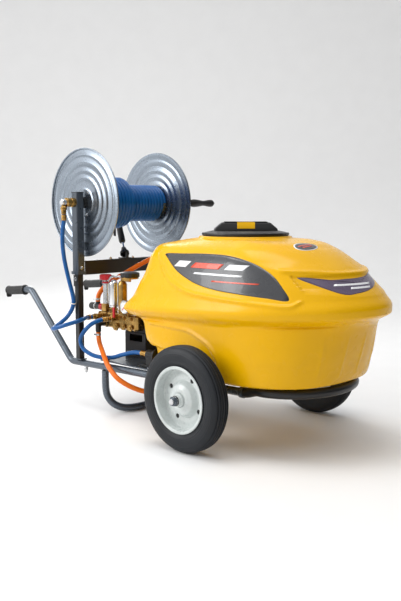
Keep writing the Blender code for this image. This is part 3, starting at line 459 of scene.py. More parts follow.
# Hoses ----------------------------------------------------------------------------------
SUPPLY_ROUTE = [(-0.727, -0.2885, 0.7646), (-0.7275, -0.2885, 0.742), (-0.738, -0.287, 0.705),
    (-0.747, -0.283, 0.654), (-0.75, -0.275, 0.599), (-0.746, -0.267, 0.548), (-0.738, -0.258, 0.493),
    (-0.73, -0.251, 0.449), (-0.73, -0.248, 0.418), (-0.745, -0.247, 0.388), (-0.762, -0.258, 0.359),
    (-0.772, -0.281, 0.338), (-0.77, -0.309, 0.325), (-0.753, -0.333, 0.322), (-0.724, -0.346, 0.327),
    (-0.69, -0.344, 0.337), (-0.661, -0.327, 0.348), (-0.645, -0.3, 0.357), (-0.648, -0.269, 0.362),
    (-0.667, -0.241, 0.362), (-0.686, -0.218, 0.36), (-0.695, -0.2, 0.359), (-0.695, -0.1853, 0.359)]
AGITATOR_ROUTE = [(-0.6122, -0.1727, 0.3579), (-0.619, -0.192, 0.3565), (-0.629, -0.213, 0.351),
    (-0.645, -0.234, 0.336), (-0.669, -0.247, 0.308), (-0.6875, -0.25, 0.275),
    (-0.673, -0.248, 0.243), (-0.6383, -0.2372, 0.2225), (-0.6074, -0.2207, 0.2137),
    (-0.5789, -0.2074, 0.2135), (-0.5431, -0.199, 0.2185), (-0.502, -0.1945, 0.2323),
    (-0.44, -0.191, 0.249), (-0.4, -0.19, 0.252), (-0.3715, -0.19, 0.252)]
SUCTION_ROUTE = [(-0.672, -0.172, 0.2996), (-0.672, -0.172, 0.287), (-0.6545, -0.1822, 0.2623),
    (-0.6003, -0.2112, 0.2368), (-0.5568, -0.2349, 0.219), (-0.5263, -0.2491, 0.2035),
    (-0.5021, -0.2545, 0.1864), (-0.466, -0.2535, 0.1595), (-0.4355, -0.2408, 0.1393),
    (-0.4095, -0.2193, 0.1224), (-0.383, -0.19, 0.109), (-0.348, -0.151, 0.103),
    (-0.305, -0.113, 0.109), (-0.265, -0.085, 0.127), (-0.234, -0.067, 0.151),
    (-0.212, -0.06, 0.167), (-0.195, -0.06, 0.1745), (-0.1765, -0.06, 0.1752)]
RETURN_ROUTE = [(-0.731, -0.125, 0.4134), (-0.731, -0.125, 0.424), (-0.728, -0.12, 0.445),
    (-0.718, -0.106, 0.468), (-0.702, -0.087, 0.49), (-0.683, -0.066, 0.508), (-0.657, -0.042, 0.528),
    (-0.62, -0.012, 0.556), (-0.575, 0.015, 0.583), (-0.525, 0.03, 0.604), (-0.478, 0.034, 0.6165),
    (-0.44, 0.034, 0.621), (-0.42, 0.034, 0.6142)]


def ferrule(name, points, distance, radius, length, finish="brass"):
    """A crimped metal sleeve round a hose, with three rolled grooves."""
    groove = length / 7
    profile = [(radius, 0.0), (radius + 0.0022, 0.0)]
    for k in range(3):
        start = groove * (1 + 2 * k)
        profile += [(radius + 0.0022, start), (radius + 0.001, start + groove * 0.35),
            (radius + 0.001, start + groove * 0.75), (radius + 0.0022, start + groove * 1.1)]
    profile += [(radius + 0.0022, length), (radius, length)]
    bm = lathe(soften(profile, 0.0004, ring=True, steps=2), 36, ring=True)
    return piece(name, bm, finish, local=along(points, distance))


def clamp(name, points, distance, radius):
    """A worm-drive hose clamp: a thin band with its screw housing."""
    bm = lathe(soften([(radius, -0.0045), (radius + 0.001, -0.0045), (radius + 0.001, 0.0045),
        (radius, 0.0045)], 0.0003, ring=True), 40, ring=True)
    add_bmesh(bm, block_bmesh((0.014, 0.006, 0.007), (0, -radius - 0.0032, 0)))
    screw = lathe(soften([(0.0032, -0.01), (0.0032, 0.01)], 0.0006), 20)
    add_bmesh(bm, screw, Matrix.Translation((0, -radius - 0.004, 0)) @ AXES["X"])
    return piece(name, bm, "zinc", local=along(points, distance), sharp=28)


def free_hose(name, route, diameter, finish, spacing=0.007):
    points = smooth_route(route, spacing)
    obj = tube(name + "_run", points, diameter / 2, finish, stands_for=(name,), sides=7)
    return points


def hoses():
    supply = free_hose("supply_hose", SUPPLY_ROUTE, HOSE_OD, "blue_hose")
    agitator = free_hose("agitator_hose", AGITATOR_ROUTE, HOSE_OD, "blue_hose")
    suction = free_hose("suction_hose", SUCTION_ROUTE, ORANGE_OD, "orange_hose")
    back = free_hose("return_hose", RETURN_ROUTE, ORANGE_OD, "orange_hose")
    blue, orange = HOSE_OD / 2 + 0.0002, ORANGE_OD / 2 + 0.0002
    for label, points in (("supply", supply), ("agitator", agitator)):
        total = run_length(points)
        ferrule(f"{label}_ferrule_start", points, 0.001, blue, 0.022)
        ferrule(f"{label}_ferrule_end", points, total - 0.023, blue, 0.022)
    for label, points in (("suction", suction), ("return", back)):
        total = run_length(points)
        clamp(f"{label}_clamp_start", points, 0.01, orange)
        clamp(f"{label}_clamp_end", points, total - 0.01, orange)
    tie = along(supply, run_length(supply) * 0.452)
    bm = lathe(soften([(blue, -0.002), (blue + 0.0014, -0.002), (blue + 0.0014, 0.002), (blue, 0.002)],
        0.0003, ring=True), 32, ring=True)
    add_bmesh(bm, block_bmesh((0.006, 0.005, 0.006), (0.002, -blue - 0.0025, 0)))
    piece("cable_tie", bm, "tie_white", local=tie)


# Frame ----------------------------------------------------------------------------------
def rail_z(x):
    share = (x - HANDLE_FOOT_X) / (LOOP_START_X - HANDLE_FOOT_X)
    return RAIL_REAR_Z + (RAIL_FRONT_Z - RAIL_REAR_Z) * share


def side_tube(label, side):
    y = side * RAIL_Y
    tip, bend = Vector((HANDLE_TIP[0], y, HANDLE_TIP[1])), Vector((HANDLE_BEND[0], y, HANDLE_BEND[1]))
    corners = [tip + (bend - tip).normalized() * 0.006, bend, (HANDLE_FOOT_X, y, RAIL_REAR_Z),
        (LOOP_START_X, y, RAIL_FRONT_Z)]
    tube(f"rail_{label}", fillet(corners, BEND_RADIUS), TUBE_RADIUS, "frame_paint",
        stands_for=(f"frame_{label}_side",))


def front_loop():
    near_half = [(LOOP_START_X + 0.0006, -RAIL_Y, RAIL_FRONT_Z)]
    rise_x = LOOP_START_X + 0.012
    for i in range(13):
        share = i / 12
        rise = share * share * (3 - 2 * share)
        near_half.append((rise_x + (LOOP_LEVEL_X - rise_x) * share, -RAIL_Y,
            RAIL_FRONT_Z + (LOOP_Z - RAIL_FRONT_Z) * rise))
    for i in range(1, 24):
        angle = math.pi / 2 * i / 24
        near_half.append((LOOP_LEVEL_X + (LOOP_NOSE_X - LOOP_LEVEL_X) * math.sin(angle),
            -RAIL_Y * math.cos(angle), LOOP_Z))
    far_half = [(x, -y, z) for x, y, z in reversed(near_half)]
    # The front loop is the same grey frame paint as the rails; it is drawn in black_steel as painted
    # shade, the darker look of that paint on the shaded front.
    tube("loop_tube_painted_shade", near_half + [(LOOP_NOSE_X, 0, LOOP_Z)] + far_half, LOOP_RADIUS, "black_steel",
        stands_for=("front_loop",))
    for side in (-1, 1):
        turned(f"loop_socket_{side}", [(LOOP_RADIUS + 0.0002, LOOP_START_X - 0.004),
            (LOOP_RADIUS + 0.0022, LOOP_START_X - 0.004), (LOOP_RADIUS + 0.0022, LOOP_START_X + 0.012),
            (LOOP_RADIUS + 0.0002, LOOP_START_X + 0.012)], (0, side * RAIL_Y, RAIL_FRONT_Z), "X",
            "frame_paint", soft=0.0008, ring=True)


def rear_stand():
    x, low = STAND_TOP_X, TUBE_RADIUS
    top = rail_z(x) - TUBE_RADIUS - 0.0006
    near_half = [(x, -RAIL_Y, top), (x, -RAIL_Y, top - 0.03), (x + 0.001, -RAIL_Y + 0.001, 0.09),
        (x + 0.008, -RAIL_Y + 0.006, 0.058), (x + 0.026, -RAIL_Y + 0.02, 0.032),
        (x + 0.048, -RAIL_Y + 0.045, 0.018), (STAND_FOOT_X - 0.002, -0.13, low + 0.0006),
        (STAND_FOOT_X, -0.085, low), (STAND_FOOT_X, -0.04, low)]
    route = near_half + [(STAND_FOOT_X, 0, low)]
    route += [(x, -y, z) for x, y, z in reversed(near_half)]
    tube("stand_tube", smooth_route(route, 0.008), TUBE_RADIUS, "frame_paint",
        stands_for=("rear_stand",))


def grips():
    """Moulded grips: a ribbed underside, a guard at the inner end and a hook at the tip."""
    tip = Vector((HANDLE_TIP[0], 0, HANDLE_TIP[1]))
    ahead = (Vector((HANDLE_BEND[0], 0, HANDLE_BEND[1])) - tip).normalized()
    turn = facing(ahead)
    around, steps = 64, 150
    for side, label in ((-1, "near"), (1, "far")):
        bm = bmesh.new()
        rings = []
        start, end = -0.007, GRIP_LENGTH
        for i in range(steps + 1):
            z = start + (end - start) * i / steps
            share = min(1.0, (z - start) / 0.01)
            base = 0.0178 * math.sqrt(1 - (1 - share) ** 2 * 0.8)
            if z < 0.01:
                base += 0.0022 * math.exp(-((z - 0.001) / 0.0035) ** 2)
            guard = 0.0048 * max(0.0, 1 - abs(z - (end - 0.006)) / 0.0058) ** 0.4
            ring = []
            for k in range(around):
                angle = 2 * math.pi * k / around
                under = max(0.0, math.cos(angle))
                rib = 0.0
                if 0.014 < z < end - 0.02:
                    rib = 0.0022 * under * (0.5 + 0.5 * math.cos(2 * math.pi * (z - 0.014) / 0.0105))
                radius = base + rib + guard * (0.55 + 0.75 * under)
                ring.append(bm.verts.new((radius * math.cos(angle), radius * math.sin(angle), z)))
            rings.append(ring)
        inner = [bm.verts.new(((TUBE_RADIUS + 0.0003) * math.cos(2 * math.pi * k / around),
            (TUBE_RADIUS + 0.0003) * math.sin(2 * math.pi * k / around), end)) for k in range(around)]
        deep = [bm.verts.new((v.co.x, v.co.y, end - 0.01)) for v in inner]
        for first, second in zip(rings, rings[1:] + [inner]):
            bridge(bm, first, second)
        bridge(bm, inner, deep)
        bm.faces.new(deep)
        bm.faces.new(rings[0])
        hook = block_bmesh((0.03, 0.026, 0.008), (0.015, 0, -0.0022))
        bmesh.ops.bevel(hook, geom=hook.edges[:], offset=0.0036, segments=4, affect="EDGES")
        local = Matrix.Translation((tip.x, side * RAIL_Y, tip.z)) @ turn
        piece(f"grip_hook_{label}", hook, "grip_rubber", local=local, sharp=60)
        piece(f"handle_grip_{label}", bm, "grip_rubber", local=local, stands_for=(f"grip_{label}",),
            sharp=50)


def plates_and_posts():
    bm = block_bmesh((0.275, 0.44, 0.0046), (-0.465, 0, PLATE_Z - 0.0025))
    piece("pump_plate", bm, "frame_paint", stands_for=("base_plate",), bevel=0.0008)
    for k, (x, y) in enumerate(((-0.585, -0.196), (-0.345, -0.196), (-0.585, 0.196), (-0.345, 0.196))):
        bolt(f"plate_bolt_{k}", (x, y, PLATE_Z), (0, 0, 1), 0.012, 0.01)
    for side, label in ((-1, "near"), (1, "far")):
        y = side * POST_Y
        low = rail_z(POST_X) + TUBE_RADIUS + 0.0006
        height = 0.5297 - low
        block(f"square_post_{label}", (0.0248, 0.0248, height), (POST_X, y, low + height / 2),
            "black_steel", 0.0022, stands_for=(f"post_{label}",))
        block(f"post_foot_{label}", (0.046, 0.031, 0.004), (POST_X, y, low + 0.0022), "frame_paint",
            0.001)
        block(f"side_bolt_plate_{label}", (0.03, 0.003, 0.045), (POST_X, y + side * 0.0142, 0.505),
            "black_steel", 0.0008)
        bolt(f"post_bolt_{label}", (POST_X, y + side * 0.0157, 0.512), (0, side, 0), 0.01, 0.008)
        bolt(f"collar_bolt_{label}", (POST_X + 0.0176, y, 0.556), (1, 0, 0), 0.01, 0.008)
        block(f"upright_cap_{label}", (0.0355, 0.0355, 0.003), (POST_X, y, 0.8505), "lid_plastic",
            0.0012)
    for k, y in enumerate((-0.06, 0.06)):
        bolt(f"beam_bolt_{k}", (POST_X, y, BEAM_HIGH), (0, 0, 1), 0.01, 0.009)
    turned("rail_drain_tap", [(0.0062, 0.0), (0.0062, -0.006), (0.0085, -0.006), (0.0085, -0.016),
        (0.0055, -0.016), (0.0055, -0.024), (0.0035, -0.026)], (-0.7, -RAIL_Y,
        rail_z(-0.7) - TUBE_RADIUS + 0.002), "Z", "zinc", soft=0.0006)


def dress_carried_nodes():
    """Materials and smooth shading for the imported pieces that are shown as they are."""
    record = frame["record"]
    slots = {entry["node"]: entry["material_slot"] for entry in record["subparts"]}
    for name, obj in frame["nodes"].items():
        obj.data.materials.clear()
        obj.data.materials.append(MATERIALS[slots[name]])
        obj.data.shade_smooth()
        obj.data.set_sharp_from_angle(angle=math.radians(35))


def soften_edges(names, width=0.0012):
    for name in names:
        add_bevel(frame["nodes"][name], width, 2)


# Wheels ---------------------------------------------------------------------------------
def tyre_profile():
    """The tyre's section: round crown with seven ribs between grooves, ridged sidewalls."""
    side = [(0.103, 0.029), (0.113, 0.0292), (0.1205, 0.033), (0.132, 0.0352), (0.145, 0.035),
        (0.156, 0.0326), (0.164, 0.029), (0.17, 0.0238), (0.1735, 0.018), (0.1747, 0.009),
        (0.175, 0.0)]
    half = []
    for (r0, h0), (r1, h1) in zip(side, side[1:]):
        for k in range(8):
            t = k / 8
            r, h = r0 + (r1 - r0) * t, h0 + (h1 - h0) * t
            for middle in (0.1245, 0.151):
                h += 0.0009 * math.exp(-((r - middle) / 0.0011) ** 2)
            for groove in (0.0055, 0.0145, 0.0225):
                if r > 0.158:
                    r -= 0.0055 / (1 + ((h - groove) / 0.0017) ** 6)
            half.append((r, h))
    half.append(side[-1])
    return half + [(r, -h) for r, h in reversed(half[:-1])]


RIM = [(0.109, 0.0345), (0.1108, 0.032), (0.109, 0.0296), (0.1026, 0.0292), (0.1026, -0.0292),
    (0.109, -0.0296), (0.1108, -0.032), (0.109, -0.0345), (0.1, -0.033), (0.0985, -0.008),
    (0.088, -0.0065), (0.06, -0.004), (0.048, 0.014), (0.024, 0.022), (0.024, 0.0255),
    (0.034, 0.025), (0.05, 0.018), (0.062, -0.0005), (0.076, 0.0002), (0.088, -0.0022),
    (0.099, -0.0015), (0.1, 0.033)]


def wheel(label, side):
    body = f"wheel_{label}"
    centre = (0, side * WHEEL_Y, WHEEL_RADIUS)
    local = Matrix.Translation(centre) @ AXES["Y"]
    piece(f"ribbed_tyre_{label}", lathe(tyre_profile(), 144, ring=True), "tyre_rubber", body, local,
        (f"tyre_{label}",), sharp=32)
    outward = [(r, side * h) for r, h in RIM]
    rim = piece(f"dished_rim_{label}", lathe(soften(outward, 0.0028, True, 4), 96, ring=True),
        "rim_paint", body, local, (f"rim_{label}",), sharp=40)
    holes = []
    for k in range(4):
        angle = math.radians(62 + 90 * k)
        place = (0.0705 * math.cos(angle), side * WHEEL_Y, WHEEL_RADIUS + 0.0705 * math.sin(angle))
        holes.append(mesh_object("cutter", lathe([(0.008, -0.03), (0.008, 0.03)], 32),
            Matrix.Translation(place) @ AXES["Y"]))
        # Black rubber discs sunk in the rim's holes are painted shade: they stand for the dark inside of
        # the wheel seen through the holes.
        turned(f"rim_plug_{label}_{k}", [(0.008, side * -0.005), (0.0088, side * -0.0034),
            (0.0076, side * -0.0022), (0.004, side * -0.003)], place, "Y", "grip_rubber", soft=0.0006,
            body=body)
    combine(rim, holes, "DIFFERENCE")
    hub = [(0.0103, -0.034), (0.0237, -0.034), (0.0237, 0.022), (0.0225, 0.026), (0.0225, 0.031),
        (0.019, 0.034), (0.018, 0.042), (0.0103, 0.042)]
    turned(f"wheel_hub_{label}", [(r, side * h) for r, h in hub], centre, "Y", "rim_paint", soft=0.0016,
        steps=64, ring=True, body=body, stands_for=(f"hub_{label}",))
    outer = WHEEL_Y + 0.0426
    # A thin black ring on the hub face is painted shade: it stands for the dark gap round the bearing.
    gap_shade_profile = [(0.0105, side * 0.042), (0.0172, side * 0.042), (0.0172, side * 0.0424),
        (0.0105, side * 0.0424)]
    turned(f"hub_gap_painted_shade_{label}", gap_shade_profile, centre, "Y", "grip_rubber", soft=0.0001, ring=True, body=body)
    washer = [(0.0104, side * outer), (0.0148, side * outer), (0.0148, side * (outer + 0.0022)),
        (0.0104, side * (outer + 0.0022))]
    turned(f"axle_washer_{label}", washer, (0, 0, WHEEL_RADIUS), "Y", "zinc", soft=0.0004, ring=True)
    nut = lathe([(0.0103, 0.0), (0.015, 0.0), (0.0162, 0.0012), (0.0162, 0.0098), (0.015, 0.011),
        (0.0103, 0.011)], 6, ring=True)
    flip = Matrix.Translation((0, side * (outer + 0.0025),
        WHEEL_RADIUS)) @ Matrix.Rotation(math.radians(-90 * side), 4, "X")
    piece(f"axle_nut_{label}", nut, "frame_paint", local=flip, sharp=28)
    soften_edges((f"axle_{label}",), 0.001)
    for k, (dx, dz) in enumerate(((-0.034, -0.014), (0.034, -0.014), (-0.034, 0.022), (0.034, 0.022))):
        bolt(f"axle_bolt_{label}_{k}", (dx, side * (RAIL_Y + TUBE_RADIUS + 0.0066), WHEEL_RADIUS + dz),
            (0, side, 0), 0.01, 0.0085)


# Tank -----------------------------------------------------------------------------------
# Height at x = 0, rise per metre forward, half width, rear x, nose x, taper of the rear, and
# how square the nose and the rear are in plan (2 is an ellipse).
TANK_LEVELS = [(TANK_BOTTOM, 0.0, 0.262, -0.285, 0.347, 0.1, 2.3, 5.0),
    (TANK_BOTTOM + 0.012, 0.0, 0.281, -0.302, 0.377, 0.09, 2.7, 5.3),
    (0.296, 0.0, 0.283, -0.316, 0.401, 0.09, 2.6, 5.7), (0.308, 0.0, 0.283, -0.352, 0.405, 0.09, 2.6,
    6.0), (0.4, 0.05, 0.276, -0.397, 0.442, 0.13, 2.3, 6.5), (0.412, 0.05, 0.28, -0.453, 0.461, 0.23,
    2.0, 6.5), (0.43, 0.06, 0.294, -0.49, 0.498, 0.2, 2.1, 6.5),
    (0.447, 0.06, 0.298, -0.493, 0.498, 0.14, 2.1, 6.5), (0.49, 0.05, 0.286, -0.444, 0.475, 0.13, 2.1,
    6.3), (0.527, 0.03, 0.277, -0.416, 0.453, 0.13, 2.1, 6.3), (0.56, 0.02, 0.266, -0.396, 0.422, 0.14,
    2.1, 6.3), (0.592, 0.01, 0.255, -0.384, 0.388, 0.14, 2.1, 6.3),
    (0.62, 0.0, 0.242, -0.374, 0.349, 0.13, 2.0, 6.5), (0.655, 0.0, 0.215, -0.352, 0.279, 0.13, 2.0,
    6.5), (0.672, 0.0, 0.188, -0.278, 0.225, 0.13, 2.1, 5.8), (0.68, 0.0, 0.172, -0.24, 0.148, 0.12,
    2.2, 4.2),]
TANK_MIDDLE_X = 0.08
BADGE_X, BADGE_Y = 0.246, -0.05
TANK_AROUND = 480
# The side panel, the crease under it and the nose recess, as (x, z) or (y, z) points.
PANEL = [(-0.23, 0.63), (-0.13, 0.634), (-0.03, 0.637), (0.08, 0.634), (0.169, 0.617),
    (0.24, 0.587), (0.289, 0.547), (0.318, 0.508), (0.253, 0.512), (0.147, 0.519), (0.049, 0.526),
    (-0.03, 0.538), (-0.091, 0.555), (-0.15, 0.578), (-0.207, 0.612)]
CREASE = [(-0.269, 0.632), (-0.25, 0.612), (-0.224, 0.584), (-0.19, 0.556), (-0.159, 0.539),
    (-0.07, 0.512), (0.03, 0.503), (0.128, 0.498), (0.23, 0.493), (0.322, 0.489), (0.349, 0.503)]
NOSE_RIDGE = [(-0.205, 0.592), (-0.15, 0.59), (-0.096, 0.585), (0.0, 0.583), (0.096, 0.585),
    (0.15, 0.59), (0.205, 0.592)]
NOSE_PANEL = [(-0.186, 0.575), (-0.126, 0.568), (-0.06, 0.569), (0.0, 0.57), (0.06, 0.574),
    (0.104, 0.58), (0.112, 0.56), (0.06, 0.545), (0.0, 0.534), (-0.06, 0.528), (-0.107, 0.526),
    (-0.146, 0.543)]
WHEEL_ARCH = [(-0.29, 0.383), (-0.16, 0.383), (-0.07, 0.379), (-0.015, 0.362), (0.033, 0.34),
    (0.07, 0.3), (0.082, 0.25), (0.084, 0.225)]


def between_levels(count):
    """Levels in between, on a curve through the given ones that never overshoots them."""
    table = np.array(TANK_LEVELS)
    steps = np.abs(np.diff(table[:, 0])) + 0.55 * np.abs(np.diff(table[:, 3])) + 0.003
    reach = np.concatenate(([0.0], np.cumsum(steps)))
    slopes = np.diff(table, axis=0) / np.diff(reach)[:, None]
    tangents = np.zeros_like(table)
    tangents[0], tangents[-1] = slopes[0], slopes[-1]
    for i in range(1, len(table) - 1):
        before, after = slopes[i - 1], slopes[i]
        same = before * after > 0
        total = np.where(same, before + after, 1.0)
        tangents[i] = np.where(same, 2 * before * after / total, 0.0)
    out = []
    for s in np.linspace(0.0, reach[-1], count):
        i = min(int(np.searchsorted(reach, s, side="right")) - 1, len(reach) - 2)
        h = reach[i + 1] - reach[i]
        t = (s - reach[i]) / h
        out.append((2 * t ** 3 - 3 * t ** 2 + 1) * table[i] + (t ** 3 - 2 * t ** 2 + t) * h
            * tangents[i] + (3 * t ** 2 - 2 * t ** 3) * table[i + 1] + (t ** 3 - t ** 2) * h
            * tangents[i + 1])
    return out


def outline(level, angles):
    height, slope, width, rear, nose, taper, nose_power, rear_power = level
    c, s = np.cos(angles), np.sin(angles)
    ahead = c >= 0
    power = np.where(ahead, 2 / nose_power, 2 / rear_power)
    end = np.where(ahead, nose, rear)
    reach = np.abs(c) ** power
    x = TANK_MIDDLE_X + (end - TANK_MIDDLE_X) * reach
    y = width * np.copysign(np.abs(s) ** power, s)
    y = np.where(ahead, y, y * (1 - taper * reach ** 2))
    return np.stack((x, y, height + slope * x), axis=1)


def even_ring(points, count):
    """The closed outline resampled to evenly spaced points, from its nose."""
    loop = np.vstack((points, points[:1]))
    walked = np.concatenate(([0.0], np.cumsum(np.linalg.norm(np.diff(loop, axis=0), axis=1))))
    at = np.linspace(0.0, walked[-1], count, endpoint=False)
    return np.stack([np.interp(at, walked, loop[:, k]) for k in range(3)], axis=1)


def distance_to_line(points, line):
    """How far each 2D point is from a polyline."""
    best = np.full(len(points), 1e9)
    for a, b in zip(np.array(line[:-1]), np.array(line[1:])):
        run = b - a
        t = np.clip(((points - a) @ run) / (run @ run), 0, 1)
        best = np.minimum(best, np.linalg.norm(points - a - t[:, None] * run, axis=1))
    return best


def inside_loop(points, loop):
    """True for each 2D point inside a closed polygon."""
    inside = np.zeros(len(points), bool)
    loop = np.array(loop)
    for a, b in zip(loop, np.roll(loop, -1, axis=0)):
        crosses = (a[1] > points[:, 1]) != (b[1] > points[:, 1])
        run = b[1] - a[1] if b[1] != a[1] else 1e-12
        inside ^= crosses & (points[:, 0] < (b[0] - a[0]) * (points[:, 1] - a[1]) / run + a[0])
    return inside


def curve_through(points, closed, per=8):
    """A smooth line through given 2D points."""
    points = [Vector((*p, 0.0)) for p in points]
    count = len(points)
    out = []
    for i in range(count if closed else count - 1):
        b, c = points[i], points[(i + 1) % count]
        a = points[i - 1] if closed or i else b * 2 - c
        d = points[(i + 2) % count] if closed or i + 2 < count else c * 2 - b
        for k in range(per):
            t = k / per
            p = 0.5 * ((2 * b) + (c - a) * t + (2 * a - 5 * b + 4 * c - d) * t ** 2 + (3 * b - a - 3
                * c + d) * t ** 3)
            out.append((p.x, p.y))
    if not closed:
        out.append((points[-1].x, points[-1].y))
    return out


def relief(points, normals):
    """How far each point of the tank's skin stands proud of, or below, its plain form."""
    x, y, z = points.T
    rise = np.zeros(len(points))
    on_side = (np.abs(normals[:, 1]) > 0.45) & (z > 0.46)
    side = np.stack((x, z), axis=1)
    panel = curve_through(PANEL, True)
    edge = distance_to_line(side, panel + panel[:1])
    depth = np.where(inside_loop(side, panel), edge, -edge)
    rise -= np.where(on_side, 0.003 / (1 + np.exp(-depth / 0.0012)), 0)
    crease = distance_to_line(side, curve_through(CREASE, False))
    rise += np.where(on_side, 0.0052 * np.exp(-(crease / 0.0065) ** 2), 0)
    front = np.stack((y, z), axis=1)
    ahead = (x > 0.2) & (z > 0.46)
    ridge = distance_to_line(front, curve_through(NOSE_RIDGE, False))
    rise += np.where(ahead, 0.006 * np.exp(-(ridge / 0.0065) ** 2), 0)
    below = (ridge < 0.065) & (z < 0.58) & (np.abs(y) < 0.2)
    fade = np.clip((0.065 - ridge) / 0.02, 0, 1)
    rise -= np.where(ahead & below, 0.0042 * fade, 0)
    low = (z < 0.395) & (np.abs(normals[:, 1]) > 0.4)
    arch = distance_to_line(side, curve_through(WHEEL_ARCH, False))
    rise += np.where(low, 0.004 * np.exp(-(arch / 0.0065) ** 2), 0)
    under = (x < 0.08) & inside_loop(side, WHEEL_ARCH + [(-0.32, 0.225), (-0.32, 0.383)])
    rise -= np.where(low & under, 0.0025 * np.clip(arch / 0.008, 0, 1), 0)
    flute = np.zeros(len(points))
    for centre in (-0.15, -0.06, 0.035, 0.125):
        flute += np.exp(-((y - centre) / 0.0055) ** 2)
    on_nose = (x > 0.25) & (z > 0.245) & (z < 0.4)
    rise += np.where(on_nose, 0.0024 * flute * np.clip((z - 0.245) / 0.03, 0,
        1) * np.clip((0.4 - z) / 0.03, 0, 1), 0)
    return rise


def tank_shell():
    angles = 2 * np.pi * np.arange(1440) / 1440
    rings = [even_ring(outline(level, angles), TANK_AROUND) for level in between_levels(250)]
    turn = 2 * np.pi * np.arange(TANK_AROUND) / TANK_AROUND
    top = rings[-1]
    neck_foot = np.stack((NECK_X + (NECK_OUTER + 0.004) * np.cos(turn),
        (NECK_OUTER + 0.004) * np.sin(turn), np.full(TANK_AROUND, NECK_TOP - 0.0065)), axis=1)
    rings += [top + (neck_foot - top) * share for share in (0.25, 0.5, 0.75, 1.0)]
    for radius, z in ((NECK_OUTER + 0.0012, NECK_TOP - 0.0045), (NECK_OUTER, NECK_TOP - 0.0012),
            (NECK_OUTER - 0.0015, NECK_TOP), (NECK_INNER + 0.0015, NECK_TOP),
            (NECK_INNER, NECK_TOP - 0.0015), (NECK_INNER, NECK_TOP - 0.016),
            (NECK_INNER + 0.01, NECK_TOP - 0.022)):
        rings.append(np.stack((NECK_X + radius * np.cos(turn), radius * np.sin(turn),
            np.full(TANK_AROUND, z)), axis=1))
    bm = bmesh.new()
    made = [[bm.verts.new(p) for p in ring] for ring in rings]
    for lower, upper in zip(made, made[1:]):
        bridge(bm, lower, upper)
    bm.faces.new(made[0])
    bm.normal_update()
    skin = [v for ring in made[:250] for v in ring]
    points = np.array([v.co for v in skin])
    normals = np.array([v.normal for v in skin])
    for vert, rise in zip(skin, relief(points, normals)):
        vert.co += vert.normal * float(rise)
    obj = piece("moulded_tank", bm, "tank_plastic", stands_for=("tank_shell",), sharp=60)
    return BVHTree.FromPolygons([TO_FRAME @ v.co for v in obj.data.vertices],
        [p.vertices[:] for p in obj.data.polygons])


def patch(name, skin, loop, toward, finish, lift=0.0006, rings=14):
    """A thin film on the tank: loop holds (x, y), (x, z) or (y, z) points, toward points in."""
    loop = np.array(loop)
    middle = loop.mean(axis=0)
    toward = Vector(toward)
    bm = bmesh.new()
    made = []
    for k in range(1, rings + 1):
        row = []
        for a, z in middle + (loop - middle) * (k / rings):
            if abs(toward.z) > 0.5:
                start = Vector((a + AXLE_X, z, 1)) - toward
            elif abs(toward.y) > 0.5:
                start = Vector((a + AXLE_X, 0, z)) - toward
            else:
                start = Vector((AXLE_X, a, z)) - toward
            place, normal, _, _ = skin.ray_cast(start, toward)
            row.append(bm.verts.new(place + normal * lift - Vector((AXLE_X, 0, 0))))
        made.append(row)
    for inner, outer in zip(made, made[1:]):
        bridge(bm, inner, outer)
    bm.faces.new(made[0])
    bm.normal_update()
    obj = piece(name, bm, finish, sharp=60)
    film = obj.modifiers.new("Film", "SOLIDIFY")
    film.thickness = 0.0009
    film.offset = -1.0
    return obj


def slanted_bar(x, z, length, height, lean):
    """A small slanted bar as a closed outline of (across, z) points with many edge points."""
    corners = [(x, z), (x + length, z), (x + length + lean, z + height), (x + lean, z + height)]
    out = []
    for (x0, z0), (x1, z1) in zip(corners, corners[1:] + corners[:1]):
        out += [(x0 + (x1 - x0) * k / 8, z0 + (z1 - z0) * k / 8) for k in range(8)]
    return out


def tank_panels(skin):
    side_panel = curve_through(PANEL, True, 10)
    bars = (("white", -0.165, 0.59, 0.06, 0.02, 0.022), ("red", -0.08, 0.59, 0.13, 0.017, 0.018),
        ("white", 0.075, 0.59, 0.075, 0.017, 0.018), ("white", -0.06, 0.57, 0.21, 0.006, 0.006),
        ("red", 0.03, 0.55, 0.185, 0.004, 0.004))
    for side, label in ((-1, "near"), (1, "far")):
        patch(f"side_panel_{label}", skin, side_panel, (0, -side, 0), "panel_grey")
        for k, (colour, x, z, length, height, lean) in enumerate(bars):
            patch(f"side_stripe_{label}_{k}", skin, slanted_bar(x, z, length, height, lean),
                (0, -side, 0), f"stripe_{colour}", 0.0014, 6)
    badge_rings = (("top_badge", 0.03, 0.052, "stripe_white", 0.0004),
        ("top_badge_field", 0.026, 0.047, "panel_grey", 0.0009))
    for name, long, across, finish, lift in badge_rings:
        oval = [(BADGE_X + long * math.cos(a),
            BADGE_Y + across * math.sin(a)) for a in (2 * math.pi * k / 40 for k in range(40))]
        patch(name, skin, oval, (0, 0, -1), finish, lift, 8)
    for k, (y, length) in enumerate(((-0.085, 0.07), (-0.075, 0.05))):
        bar = [(x, v) for v, x in slanted_bar(y, 0.239 + 0.011 * k, length, 0.005, 0.0)]
        patch(f"top_badge_bar_{k}", skin, bar, (0, 0, -1), "stripe_red", 0.0014, 4)
    patch("nose_panel", skin, curve_through(NOSE_PANEL, True, 10), (-1, 0, 0), "panel_violet")
    for k, (y, z, length) in enumerate(((-0.12, 0.55, 0.15), (-0.075, 0.54, 0.09))):
        patch(f"nose_stripe_{k}", skin, slanted_bar(y, z, length, 0.005, 0.006), (-1, 0, 0),
            "stripe_white", 0.0014, 6)


